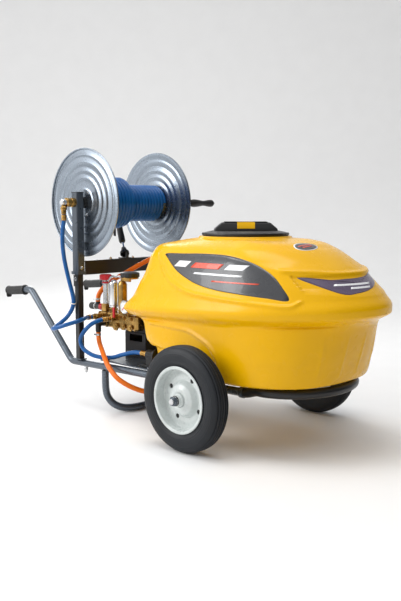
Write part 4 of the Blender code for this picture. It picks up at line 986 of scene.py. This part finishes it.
def lid():
    """A black screw lid: a notched brim, a sloping crown and a raised bar with its insert."""
    base = NECK_TOP + 0.0025
    around = 240
    brim = [(0.129, base - 0.018, 0), (0.132, base - 0.018, 0), (0.132, base, 0), (0.1515, base, 1),
        (0.1535, base + 0.001, 1), (LID_RADIUS, base + 0.003, 1), (LID_RADIUS, base + 0.006, 1),
        (0.1532, base + 0.0082, 1), (0.151, base + 0.0092, 0), (0.145, base + 0.0094, 0),
        (0.1425, base + 0.0106, 0), (0.14, base + 0.0112, 0), (0.12, base + 0.0152, 0),
        (0.117, base + 0.016, 0), (0.114, base + 0.015, 0), (0.112, base + 0.0124, 0),
        (0.09, base + 0.0118, 0), (0.0, base + 0.0118, 0)]
    bm = bmesh.new()
    rings = []
    for radius, z, edge in brim[:-1]:
        ring = []
        for k in range(around):
            angle = 2 * math.pi * k / around
            notch = edge * 0.0016 * max(0.0, math.cos(angle * 30)) ** 6
            ring.append(bm.verts.new(((radius - notch) * math.cos(angle),
                (radius - notch) * math.sin(angle), z)))
        rings.append(ring)
    for lower, upper in zip(rings, rings[1:]):
        bridge(bm, lower, upper)
    bm.faces.new(rings[0])
    bm.faces.new(rings[-1])
    piece("screw_lid", bm, "lid_plastic", "lid", Matrix.Translation((NECK_X, 0, 0)), ("tank_lid",),
        sharp=45)
    place = Matrix.Translation((NECK_X, 0, 0)) @ Matrix.Rotation(LID_TURN, 4, "Z")
    bar = bmesh.new()
    rings = []
    for half, width, z in ((0.111, 0.041, base + 0.01), (0.111, 0.041, base + 0.022),
            (0.084, 0.035, base + 0.045)):
        rings.append([bar.verts.new((sx * half, sy * width, z)) for sx,
            sy in ((-1, -1), (1, -1), (1, 1), (-1, 1))])
    bar.faces.new(rings[0])
    for lower, upper in zip(rings, rings[1:]):
        bridge(bar, lower, upper)
    bar.faces.new(rings[-1])
    bmesh.ops.bevel(bar, geom=bar.edges[:], offset=0.0055, segments=5, profile=0.5, affect="EDGES")
    piece("lid_bar", bar, "lid_plastic", "lid", place, sharp=35)
    for side in (-1, 1):
        rail = block_bmesh((0.15, 0.0035, 0.004), (0, side * 0.0335, base + 0.0455))
        piece(f"lid_bar_rib_{side}", rail, "lid_plastic", "lid", place, bevel=0.0012)
    plate = bmesh.new()
    section = [(-0.0422, base + 0.023), (-0.0366, base + 0.044), (-0.0335, base + 0.0474),
        (0.0335, base + 0.0474), (0.0366, base + 0.044), (0.0422, base + 0.023),
        (0.0395, base + 0.023), (0.033, base + 0.044), (-0.033, base + 0.044),
        (-0.0395, base + 0.023)]
    ends = [[plate.verts.new((x, y, z)) for y, z in section] for x in (-0.031, 0.031)]
    bridge(plate, *ends)
    for end in ends:
        plate.faces.new(end)
    piece("bar_insert", plate, "tank_plastic", "lid", place, ("lid_insert",), bevel=0.001)


# Hose reel ------------------------------------------------------------------------------
# The pressed step of a flange, and its rings: radius, height and width of each.
FLANGE_STEP_RADIUS, FLANGE_STEP_WIDTH, FLANGE_STEP_HEIGHT = 0.149, 0.009, 0.0042
FLANGE_RIDGES = ((0.052, 0.002, 0.005), (0.096, 0.0024, 0.008), (0.124, 0.0024, 0.008),
    (0.15, 0.002, 0.007), (0.186, 0.0024, 0.006))


def flange_height(radius):
    """How far the pressed sheet stands outwards from the flange's plane."""
    step = min(1.0, max(0.0, (radius - FLANGE_STEP_RADIUS) / FLANGE_STEP_WIDTH))
    fall = max(0.0, (radius - 0.158) / 0.047)
    height = FLANGE_STEP_HEIGHT * step * step * (3 - 2 * step) * (1 - min(1.0, fall))
    for ridge, tall, wide in FLANGE_RIDGES:
        height += tall * math.exp(-((radius - ridge) / wide) ** 2)
    return height


def reel_flange(label, side):
    """A pressed disc: stepped, ribbed, with a rolled edge."""
    inner, thick, around = 0.013, 0.0016, 240
    radii = [inner, 0.02, 0.03] + [0.0335 + 0.0022 * k for k in range(79)]
    bm = bmesh.new()
    outside, inside = [], []
    for radius in radii:
        outside.append([])
        inside.append([])
        height = flange_height(radius)
        for k in range(around):
            angle = 2 * math.pi * k / around
            x, z = radius * math.cos(angle), radius * math.sin(angle)
            outside[-1].append(bm.verts.new((x, side * (REEL_FLANGE_Y + height + 0.0004), z)))
            inside[-1].append(bm.verts.new((x, side * (REEL_FLANGE_Y + height + 0.0004 - thick), z)))
    roll, roll_radius = REEL_FLANGE_RADIUS - 0.0034, 0.0032
    edge = []
    for j in range(11):
        turn = math.pi * 1.5 - math.pi * 1.75 * j / 10
        radius = roll + roll_radius * math.cos(turn)
        lift = REEL_FLANGE_Y + 0.002 + roll_radius * math.sin(turn)
        edge.append([bm.verts.new((radius * math.cos(2 * math.pi * k / around), side * lift,
            radius * math.sin(2 * math.pi * k / around))) for k in range(around)])
    loop = inside + edge + outside[::-1]
    for first, second in zip(loop, loop[1:] + loop[:1]):
        bridge(bm, first, second)
    piece(f"pressed_flange_{label}", bm, "reel_metal", "reel", Matrix.Translation((POST_X, 0, REEL_Z)),
        (f"reel_flange_{label}",), sharp=50)
    for k in range(3):
        angle = math.radians(50 + 120 * k)
        place = (POST_X + 0.049 * math.cos(angle), side * (REEL_FLANGE_Y + 0.0006),
            REEL_Z + 0.049 * math.sin(angle))
        bolt(f"flange_bolt_{label}_{k}", place, (0, side, 0), 0.009, 0.007, body="reel")


def wound_hose():
    """One open helix: a full layer over the drum, then two more on the near half."""
    first = DRUM_RADIUS + HOSE_OD / 2 + 0.0004
    rise, reach, step_y = 0.0143, 0.1795, -0.004
    layers = ((21.5, first, reach, -reach), (10.0, first + rise, -reach + 0.008, step_y),
        (10.4, first + 2 * rise, step_y - 0.008, -reach))
    per_turn = 28
    points = []
    turn = 0.0
    for number, (turns, radius, start, end) in enumerate(layers):
        count = int(turns * per_turn)
        for i in range(count):
            share = i / count
            climb = min(1.0, i / (per_turn * 0.4)) if number else 1.0
            level = radius - rise * (1 - climb)
            y = start + (end - start) * share + 0.0005 * math.sin(turn * 2.6 * math.pi)
            if number and climb < 1.0:
                y = last_y + (start + (end - start) * per_turn * 0.4 / count - last_y) * climb
            angle = 2 * math.pi * turn
            points.append((POST_X + level * math.cos(angle), y, REEL_Z + level * math.sin(angle)))
            turn += 1 / per_turn
        last_y = points[-1][1]
    obj = tube("wound_hose_turns", points, HOSE_OD / 2, "blue_hose", "reel", ("wound_hose",), 4)
    total = run_length(points)
    end = lathe(soften([(HOSE_OD / 2 + 0.0002, 0.0), (HOSE_OD / 2 + 0.002, 0.0),
        (HOSE_OD / 2 + 0.002, 0.018), (HOSE_OD / 2 + 0.0002, 0.018)], 0.0006, True), 32, True)
    sleeve = piece("wound_hose_ferrule", end, "brass", "reel", along(points, total - 0.02))


def crank():
    y = 0.2443
    low = y + 0.0065
    profile = [(0.0054, low), (0.011, low), (0.0128, low + 0.003), (0.0165, low + 0.018),
        (0.016, low + 0.034), (0.0135, low + 0.056), (0.0107, low + 0.076), (0.0112, low + 0.09),
        (0.014, low + 0.108), (0.0152, low + 0.122), (0.0148, low + 0.132), (0.0105, low + 0.138),
        (0.0054, low + 0.138)]
    turned("waisted_crank_grip", profile, (POST_X + CRANK_REACH, 0, REEL_Z), "Y", "grip_rubber",
        soft=0.006, ring=True, body="crank_handle", stands_for=("crank_grip",))
    soften_edges(("crank_arm",), 0.001)
    turned("crank_pin_cap", [(0.0052, 0.1392), (0.008, 0.1392), (0.008, 0.1408), (0.005, 0.1425)],
        (POST_X + CRANK_REACH, y + 0.006, REEL_Z), "Y", "zinc", soft=0.0005, body="reel")
    bolt("crank_hub_bolt", (POST_X, y + 0.0061, REEL_Z), (0, 1, 0), 0.017, 0.012, body="reel")


def swivel():
    """Brass housing on the near upright, with a hexagon, a polished cap and an elbow down."""
    outer = POST_Y + 0.0178
    turned("swivel_housing", [(0.015, -0.2795), (0.0178, -0.277), (0.0178, -0.26), (0.015, -0.259),
        (0.015, -0.256), (0.0178, -0.255), (0.0178, -outer)], (POST_X, 0, REEL_Z), "Y", "brass",
        soft=0.0008, stands_for=("swivel_joint",))
    turned("swivel_cap", [(0.0118, -0.2795), (0.0118, -0.295), (0.0095, -0.3)], (POST_X, 0, REEL_Z),
        "Y", "polished", soft=0.002)
    hexagon = Matrix.Translation((POST_X, -0.2475, REEL_Z)) @ Matrix.Rotation(math.radians(90), 4, "X")
    nut("swivel_hexagon", 0.0335, 0.0085, hexagon)
    turned("swivel_drop", [(0.0085, -0.046), (0.0102, -0.0445), (0.0102, -0.03), (0.0088, -0.029),
        (0.0088, -0.01)], (POST_X, -0.2885, REEL_Z), "Z", "brass", soft=0.0006)
    nut("swivel_nut", 0.0215, 0.0125, Matrix.Translation((POST_X, -0.2885, REEL_Z - 0.029)))


# Pump and drive -------------------------------------------------------------------------
def fluted(name, profile, count, depth, centre, axis, finish, around=160, **rest):
    """A turned knob whose outer wall carries rounded flutes."""
    widest = max(radius for radius, _ in profile)
    bm = bmesh.new()
    rings = []
    for radius, height in soften(profile, 0.0018, steps=4):
        share = max(0.0, (radius - widest * 0.8) / (widest * 0.2))
        ring = []
        for k in range(around):
            angle = 2 * math.pi * k / around
            cut = depth * share * max(0.0, math.cos(angle * count)) ** 2
            ring.append(bm.verts.new(((radius - cut) * math.cos(angle), (radius - cut) * math.sin(angle),
                height)))
        rings.append(ring)
    for lower, upper in zip(rings, rings[1:]):
        bridge(bm, lower, upper)
    bm.faces.new(rings[0])
    bm.faces.new(rings[-1])
    return piece(name, bm, finish, local=Matrix.Translation(centre) @ AXES[axis], sharp=50, **rest)


def pump_head():
    soften_edges(("pump_head", "pump_crankcase", "agitator_valve", "drive_motor", "crossbeam",
        "gun_holder"), 0.0016)
    front = HEAD_Y - HEAD_DEPTH / 2
    for k, (x, z, flats, tall) in enumerate(((-0.592, 0.3265, 0.028, 0.0085),
            (-0.548, 0.33, 0.024, 0.0075), (-0.506, 0.33, 0.024, 0.0075),
            (-0.548, 0.364, 0.015, 0.006), (-0.506, 0.364, 0.015, 0.006))):
        turn = Matrix.Translation((x, front, z)) @ Matrix.Rotation(math.radians(90), 4, "X")
        nut(f"head_plug_{k}", flats, tall, turn)
        turned(f"head_plug_centre_{k}", [(flats * 0.3, front - tall + 0.0005),
            (flats * 0.3, front - tall - 0.0022)], (x, 0, z), "Y", "brass", soft=0.0006)
    for k, x in enumerate((-0.7, -0.655, -0.614, -0.527, -0.484)):
        block(f"head_rib_{k}", (0.0042, 0.042, HEAD_HEIGHT + 0.0016), (x, HEAD_Y, HEAD_Z), "brass",
            0.0012)
    block("head_flange", (HEAD_LENGTH - 0.01, 0.007, 0.05), (HEAD_X, HEAD_Y + 0.017, HEAD_Z),
        "cast_black", 0.0014)
    supply = Matrix.Translation((-0.695, -0.16, 0.359)) @ Matrix.Rotation(math.radians(90), 4, "X")
    nut("supply_nut", 0.0235, 0.012, supply)
    run = Vector((-0.612, -0.1722, 0.358)) - Vector((-0.597, -0.13, 0.361))
    nut("agitator_nut", 0.0235, 0.012, Matrix.Translation((-0.6045, -0.15, 0.3596)) @ facing(run))
    block("valve_body", (0.038, 0.04, 0.052), (-0.337, -0.188, 0.24), "cast_black", 0.004)
    block("valve_foot", (0.07, 0.052, 0.01), (-0.345, -0.18, 0.21), "cast_black", 0.002)
    turned("valve_gland", [(0.0105, -0.3705), (0.0135, -0.369), (0.0135, -0.36), (0.0105, -0.359)],
        (0, -0.19, 0.252), "X", "brass", soft=0.001, ring=True)
    for k in range(5):
        block(f"crankcase_fin_{k}", (0.128, 0.0885, 0.0028), (CASE_X, -0.06, 0.314 + 0.0135 * k),
            "cast_black", 0.0009)
    fluted("oil_cap", [(0.008, 0.3815), (0.0125, 0.3825), (0.0125, 0.394), (0.01, 0.396)], 10,
        0.0012, (CASE_X + 0.03, -0.06, 0), "Z", "red_plastic")
    for k, (dx, dy) in enumerate(((-0.052, -0.09), (0.052, -0.09), (-0.052, -0.03), (0.052, -0.03))):
        bolt(f"crankcase_bolt_{k}", (CASE_X + dx, dy + 0.001, 0.3826), (0, 0, 1), 0.009, 0.007)


def chambers():
    foot = HEAD_TOP + 0.0183
    turned("polished_chamber", [(0.01, foot), (0.0178, foot + 0.002), (0.0178, foot + 0.01),
        (0.019, foot + 0.0115), (0.019, foot + 0.094), (0.0176, foot + 0.101), (0.012, foot + 0.108),
        (0.0065, foot + 0.111)], (CHAMBER_X, HEAD_Y, 0), "Z", "polished", soft=0.003, steps=64,
        stands_for=("air_chamber",))
    barrel = [(0.012, foot), (0.0172, foot + 0.003), (0.0172, foot + 0.012), (0.0182, foot + 0.0135),
        (0.0182, foot + 0.096), (0.016, foot + 0.102), (0.011, foot + 0.11)]
    turned("brass_barrel", barrel, (CYLINDER_X, HEAD_Y, 0), "Z", "brass", soft=0.002, steps=56,
        stands_for=("brass_cylinder",))
    nut("cylinder_hexagon", 0.031, 0.012, Matrix.Translation((CYLINDER_X, HEAD_Y, foot - 0.014)))
    nut("chamber_hexagon", 0.032, 0.012, Matrix.Translation((CHAMBER_X, HEAD_Y, foot - 0.014)))
    block("damper_elbow", (0.052, 0.013, 0.013), (-0.556, HEAD_Y, 0.5115), "brass", 0.003)
    turned("damper_base", [(0.012, 0.515), (0.034, 0.5175), (0.034, 0.5235), (0.02, 0.524)],
        (-0.532, HEAD_Y, 0), "Z", "brass", soft=0.0012)
    fluted("damper_cap", [(0.03, 0.5238), (0.0375, 0.525), (0.037, 0.54), (0.024, 0.545)], 18,
        0.0012, (-0.532, HEAD_Y, 0), "Z", "lid_plastic")
    tube("damper_pipe", [(-0.668, HEAD_Y, 0.5), (-0.64, HEAD_Y - 0.004, 0.5205),
        (-0.61, HEAD_Y - 0.004, 0.5225), (-0.56, HEAD_Y - 0.002, 0.5215)], 0.0038, "zinc")


def regulator():
    foot = HEAD_TOP + 0.0003
    top = foot + 0.032
    sleeve = top + 0.084
    block("regulator_block", (0.027, 0.0262, 0.0315), (REGULATOR_X, HEAD_Y, foot + 0.016), "brass",
        0.0025, stands_for=("regulator",))
    turned("regulator_tube", [(0.0118, top), (0.0118, top + 0.008), (0.0108, top + 0.009),
        (0.0108, sleeve - 0.012), (0.0114, sleeve - 0.011), (0.0114, sleeve), (0.007, sleeve + 0.001),
        (0.007, sleeve + 0.009)], (REGULATOR_X, HEAD_Y, 0), "Z", "zinc", soft=0.0006, steps=56)
    turned("regulator_collar", [(0.0122, sleeve - 0.004), (0.014, sleeve - 0.003),
        (0.014, sleeve + 0.003), (0.0122, sleeve + 0.004)], (REGULATOR_X, HEAD_Y, 0), "Z",
        "red_plastic", soft=0.0008, ring=True)
    knob = sleeve + 0.0093
    fluted("pressure_knob", [(0.017, knob), (0.0245, knob + 0.003), (0.0245, knob + 0.02),
        (0.02, knob + 0.0235), (0.008, knob + 0.024)], 12, 0.0024, (REGULATOR_X, HEAD_Y, 0), "Z",
        "red_plastic", body="pressure_knob", stands_for=("regulator_knob",))
    height = 0.394
    fluted("bypass_knob", [(0.011, -0.776), (0.0145, -0.7735), (0.0145, -0.748), (0.012, -0.746)],
        10, 0.0014, (0, HEAD_Y, height), "X", "lid_plastic", stands_for=("return_elbow",))
    turned("bypass_ring", [(0.0125, -0.7455), (0.0138, -0.745), (0.0138, -0.7405), (0.0125, -0.74)],
        (0, HEAD_Y, height), "X", "zinc", soft=0.0005)
    turned("bypass_body", [(0.0125, -0.74), (0.0125, -0.713), (0.0128, -0.7125)], (0, HEAD_Y, height),
        "X", "lid_plastic", soft=0.0005)
    turned("bypass_collar", [(0.0128, -0.7125), (0.0142, -0.7115), (0.0142, -0.6985), (0.0128, -0.6975),
        (0.0128, -0.694)], (0, HEAD_Y, height), "X", "red_plastic", soft=0.0007)
    turned("bypass_barb", [(0.0085, 0.413), (0.0104, 0.4105), (0.0104, 0.394)], (-0.731, HEAD_Y, 0), "Z",
        "lid_plastic", soft=0.0005)


def gauge():
    face = HEAD_Y - 0.029
    turned("gauge_case", [(0.0215, face + 0.003), (0.0232, face + 0.0005), (0.026, face),
        (0.026, face + 0.004), (0.0242, face + 0.005), (0.0242, face + 0.024),
        (0.02, face + 0.026)], (GAUGE_X, 0, GAUGE_Z), "Y", "zinc", soft=0.0007, steps=72,
        stands_for=("pressure_gauge",))
    turned("gauge_dial", [(0.0214, face + 0.0006), (0.0214, face + 0.0032)], (GAUGE_X, 0, GAUGE_Z), "Y",
        "dial_white", soft=0.0002, steps=64)
    marks = bmesh.new()
    for k in range(28):
        angle = math.radians(-45 + 270 * k / 27)
        long_mark = k % 3 == 0
        size = (0.0034 if long_mark else 0.0018, 0.0003, 0.0007 if long_mark else 0.0004)
        turn = Matrix.Rotation(-angle, 4, "Y")
        add_bmesh(marks, block_bmesh(size), turn @ Matrix.Translation((0.0186, 0, 0)))
    piece("gauge_marks", marks, "lid_plastic", local=Matrix.Translation((GAUGE_X, face + 0.0005, GAUGE_Z)))
    turned("gauge_stem", [(0.006, HEAD_TOP + 0.003), (0.006, GAUGE_Z - 0.02)],
        (GAUGE_X, HEAD_Y - 0.012, 0), "Z", "brass", soft=0.0005)
    nut("gauge_hexagon", 0.015, 0.006, Matrix.Translation((GAUGE_X, HEAD_Y - 0.012, HEAD_TOP + 0.004)))


# Spray gun ------------------------------------------------------------------------------
def spray_gun():
    local = Matrix.Translation(GUN_FOOT) @ facing(GUN_ALONG)
    head = [(0.006, -0.0005), (0.013, 0.0), (0.0155, 0.003), (0.0155, 0.008), (0.0125, 0.02),
        (0.01, 0.03), (0.0085, 0.034), (0.0058, 0.036)]
    piece("gun_head", lathe(soften(head, 0.0015), 56), "lid_plastic", "gun", local, ("spray_gun",))
    rod = [(0.0045, 0.034), (0.0045, 0.068)]
    piece("gun_rod", lathe(rod, 32), "polished", "gun", local)
    profile = [(0.0045, 0.064), (0.011, 0.0655), (0.013, 0.069)]
    for k in range(14):
        start = 0.078 + 0.0078 * k
        base = 0.0138 - 0.0018 * k / 13
        profile += [(base, start), (base - 0.0009, start + 0.002), (base - 0.0009, start + 0.0035),
            (base, start + 0.0055)]
    profile += [(0.0122, 0.195), (0.0135, 0.205), (0.0135, 0.24), (0.0105, 0.246), (0.0105, 0.252),
        (0.0092, 0.254), (0.0092, 0.275)]
    piece("gun_body", lathe(soften(profile, 0.0007), 64), "grip_rubber", "gun", local)
    nut("gun_inlet_nut", 0.0205, 0.011, local @ Matrix.Translation((0, 0, 0.256)), body="gun")
    add_bevel(frame["nodes"]["gun_trigger"], 0.0016)


# Light and floor ------------------------------------------------------------------------
def area_light(name, place, target, size, power):
    data = bpy.data.lights.new(name, "AREA")
    data.shape = "RECTANGLE"
    data.size, data.size_y = size
    data.energy = power
    made = bpy.data.objects.new(name, data)
    place, target = Vector(place), Vector(target)
    turn = (target - place).to_track_quat("-Z", "Y").to_matrix().to_4x4()
    made.matrix_world = Matrix.Translation(place) @ turn
    bpy.context.collection.objects.link(made)


def studio():
    """A pale sweep under the cart, white surroundings and large soft lamps."""
    bm = bmesh.new()
    profile = [(-6.0, 0.0), (3.2, 0.0)]
    profile += [(3.2 + 1.4 * math.sin(a),
        1.4 - 1.4 * math.cos(a)) for a in (math.pi / 2 * k / 16 for k in range(1, 17))]
    profile += [(4.6, 5.0)]
    rows = [[bm.verts.new((x, y, z)) for x in (-8.0, 8.0)] for y, z in profile]
    for lower, upper in zip(rows, rows[1:]):
        bm.faces.new((lower[0], lower[1], upper[1], upper[0]))
    mesh = bpy.data.meshes.new("floor")
    bm.to_mesh(mesh)
    bm.free()
    mesh.shade_smooth()
    floor = bpy.data.objects.new("floor", mesh)
    floor.matrix_world = Matrix.Translation((0, 0, -0.0005)) @ Matrix.Rotation(math.radians(44), 4, "Z")
    floor.data.materials.append(surface("floor_white", (0.86, 0.86, 0.86), 0.75, mottle=0.01,
        grain=0.00002))
    bpy.context.collection.objects.link(floor)
    sky()
    area_light("key", (-2.1, -3.2, 2.3), (0.0, 0.0, 0.45), (1.8, 2.4), 80)
    area_light("top", (0.2, -0.4, 3.6), (0.0, 0.0, 0.4), (2.4, 1.2), 42)
    area_light("back", (-3.0, 1.4, 2.0), (-0.2, 0.0, 0.6), (1.2, 2.0), 30)


def sky():
    """Soft surroundings, bright over the near side and the grips and dim past the nose."""
    world = bpy.data.worlds.new("studio")
    world.use_nodes = True
    nodes, links = world.node_tree.nodes, world.node_tree.links
    heading = nodes.new("ShaderNodeTexCoord")
    facing = nodes.new("ShaderNodeVectorMath")
    facing.operation = "DOT_PRODUCT"
    facing.inputs[1].default_value = Vector((-0.62, -0.42, 0.66)).normalized()
    links.new(heading.outputs["Generated"], facing.inputs[0])
    spread = nodes.new("ShaderNodeMapRange")
    spread.inputs["From Min"].default_value = -0.6
    spread.inputs["From Max"].default_value = 0.9
    spread.inputs["To Min"].default_value = 0.02
    spread.inputs["To Max"].default_value = 1.2
    links.new(facing.outputs["Value"], spread.inputs["Value"])
    links.new(spread.outputs["Result"], nodes["Background"].inputs["Strength"])
    nodes["Background"].inputs["Color"].default_value = (1.0, 1.0, 1.0, 1.0)
    bpy.context.scene.world = world
    bpy.context.scene.view_settings.view_transform = "Standard"


# Scene ----------------------------------------------------------------------------------
for leftover in list(bpy.data.objects):
    if leftover.type in {"LIGHT", "CAMERA"}:
        bpy.data.objects.remove(leftover)
camera()
studio()
dress_carried_nodes()
hoses()
wound_hose()
for number, name in ((-1, "near"), (1, "far")):
    side_tube(name, number)
    wheel(name, number)
    reel_flange(name, number)
front_loop()
rear_stand()
grips()
plates_and_posts()
crank()
swivel()
pump_head()
chambers()
regulator()
gauge()
spray_gun()
tank_panels(tank_shell())
lid()
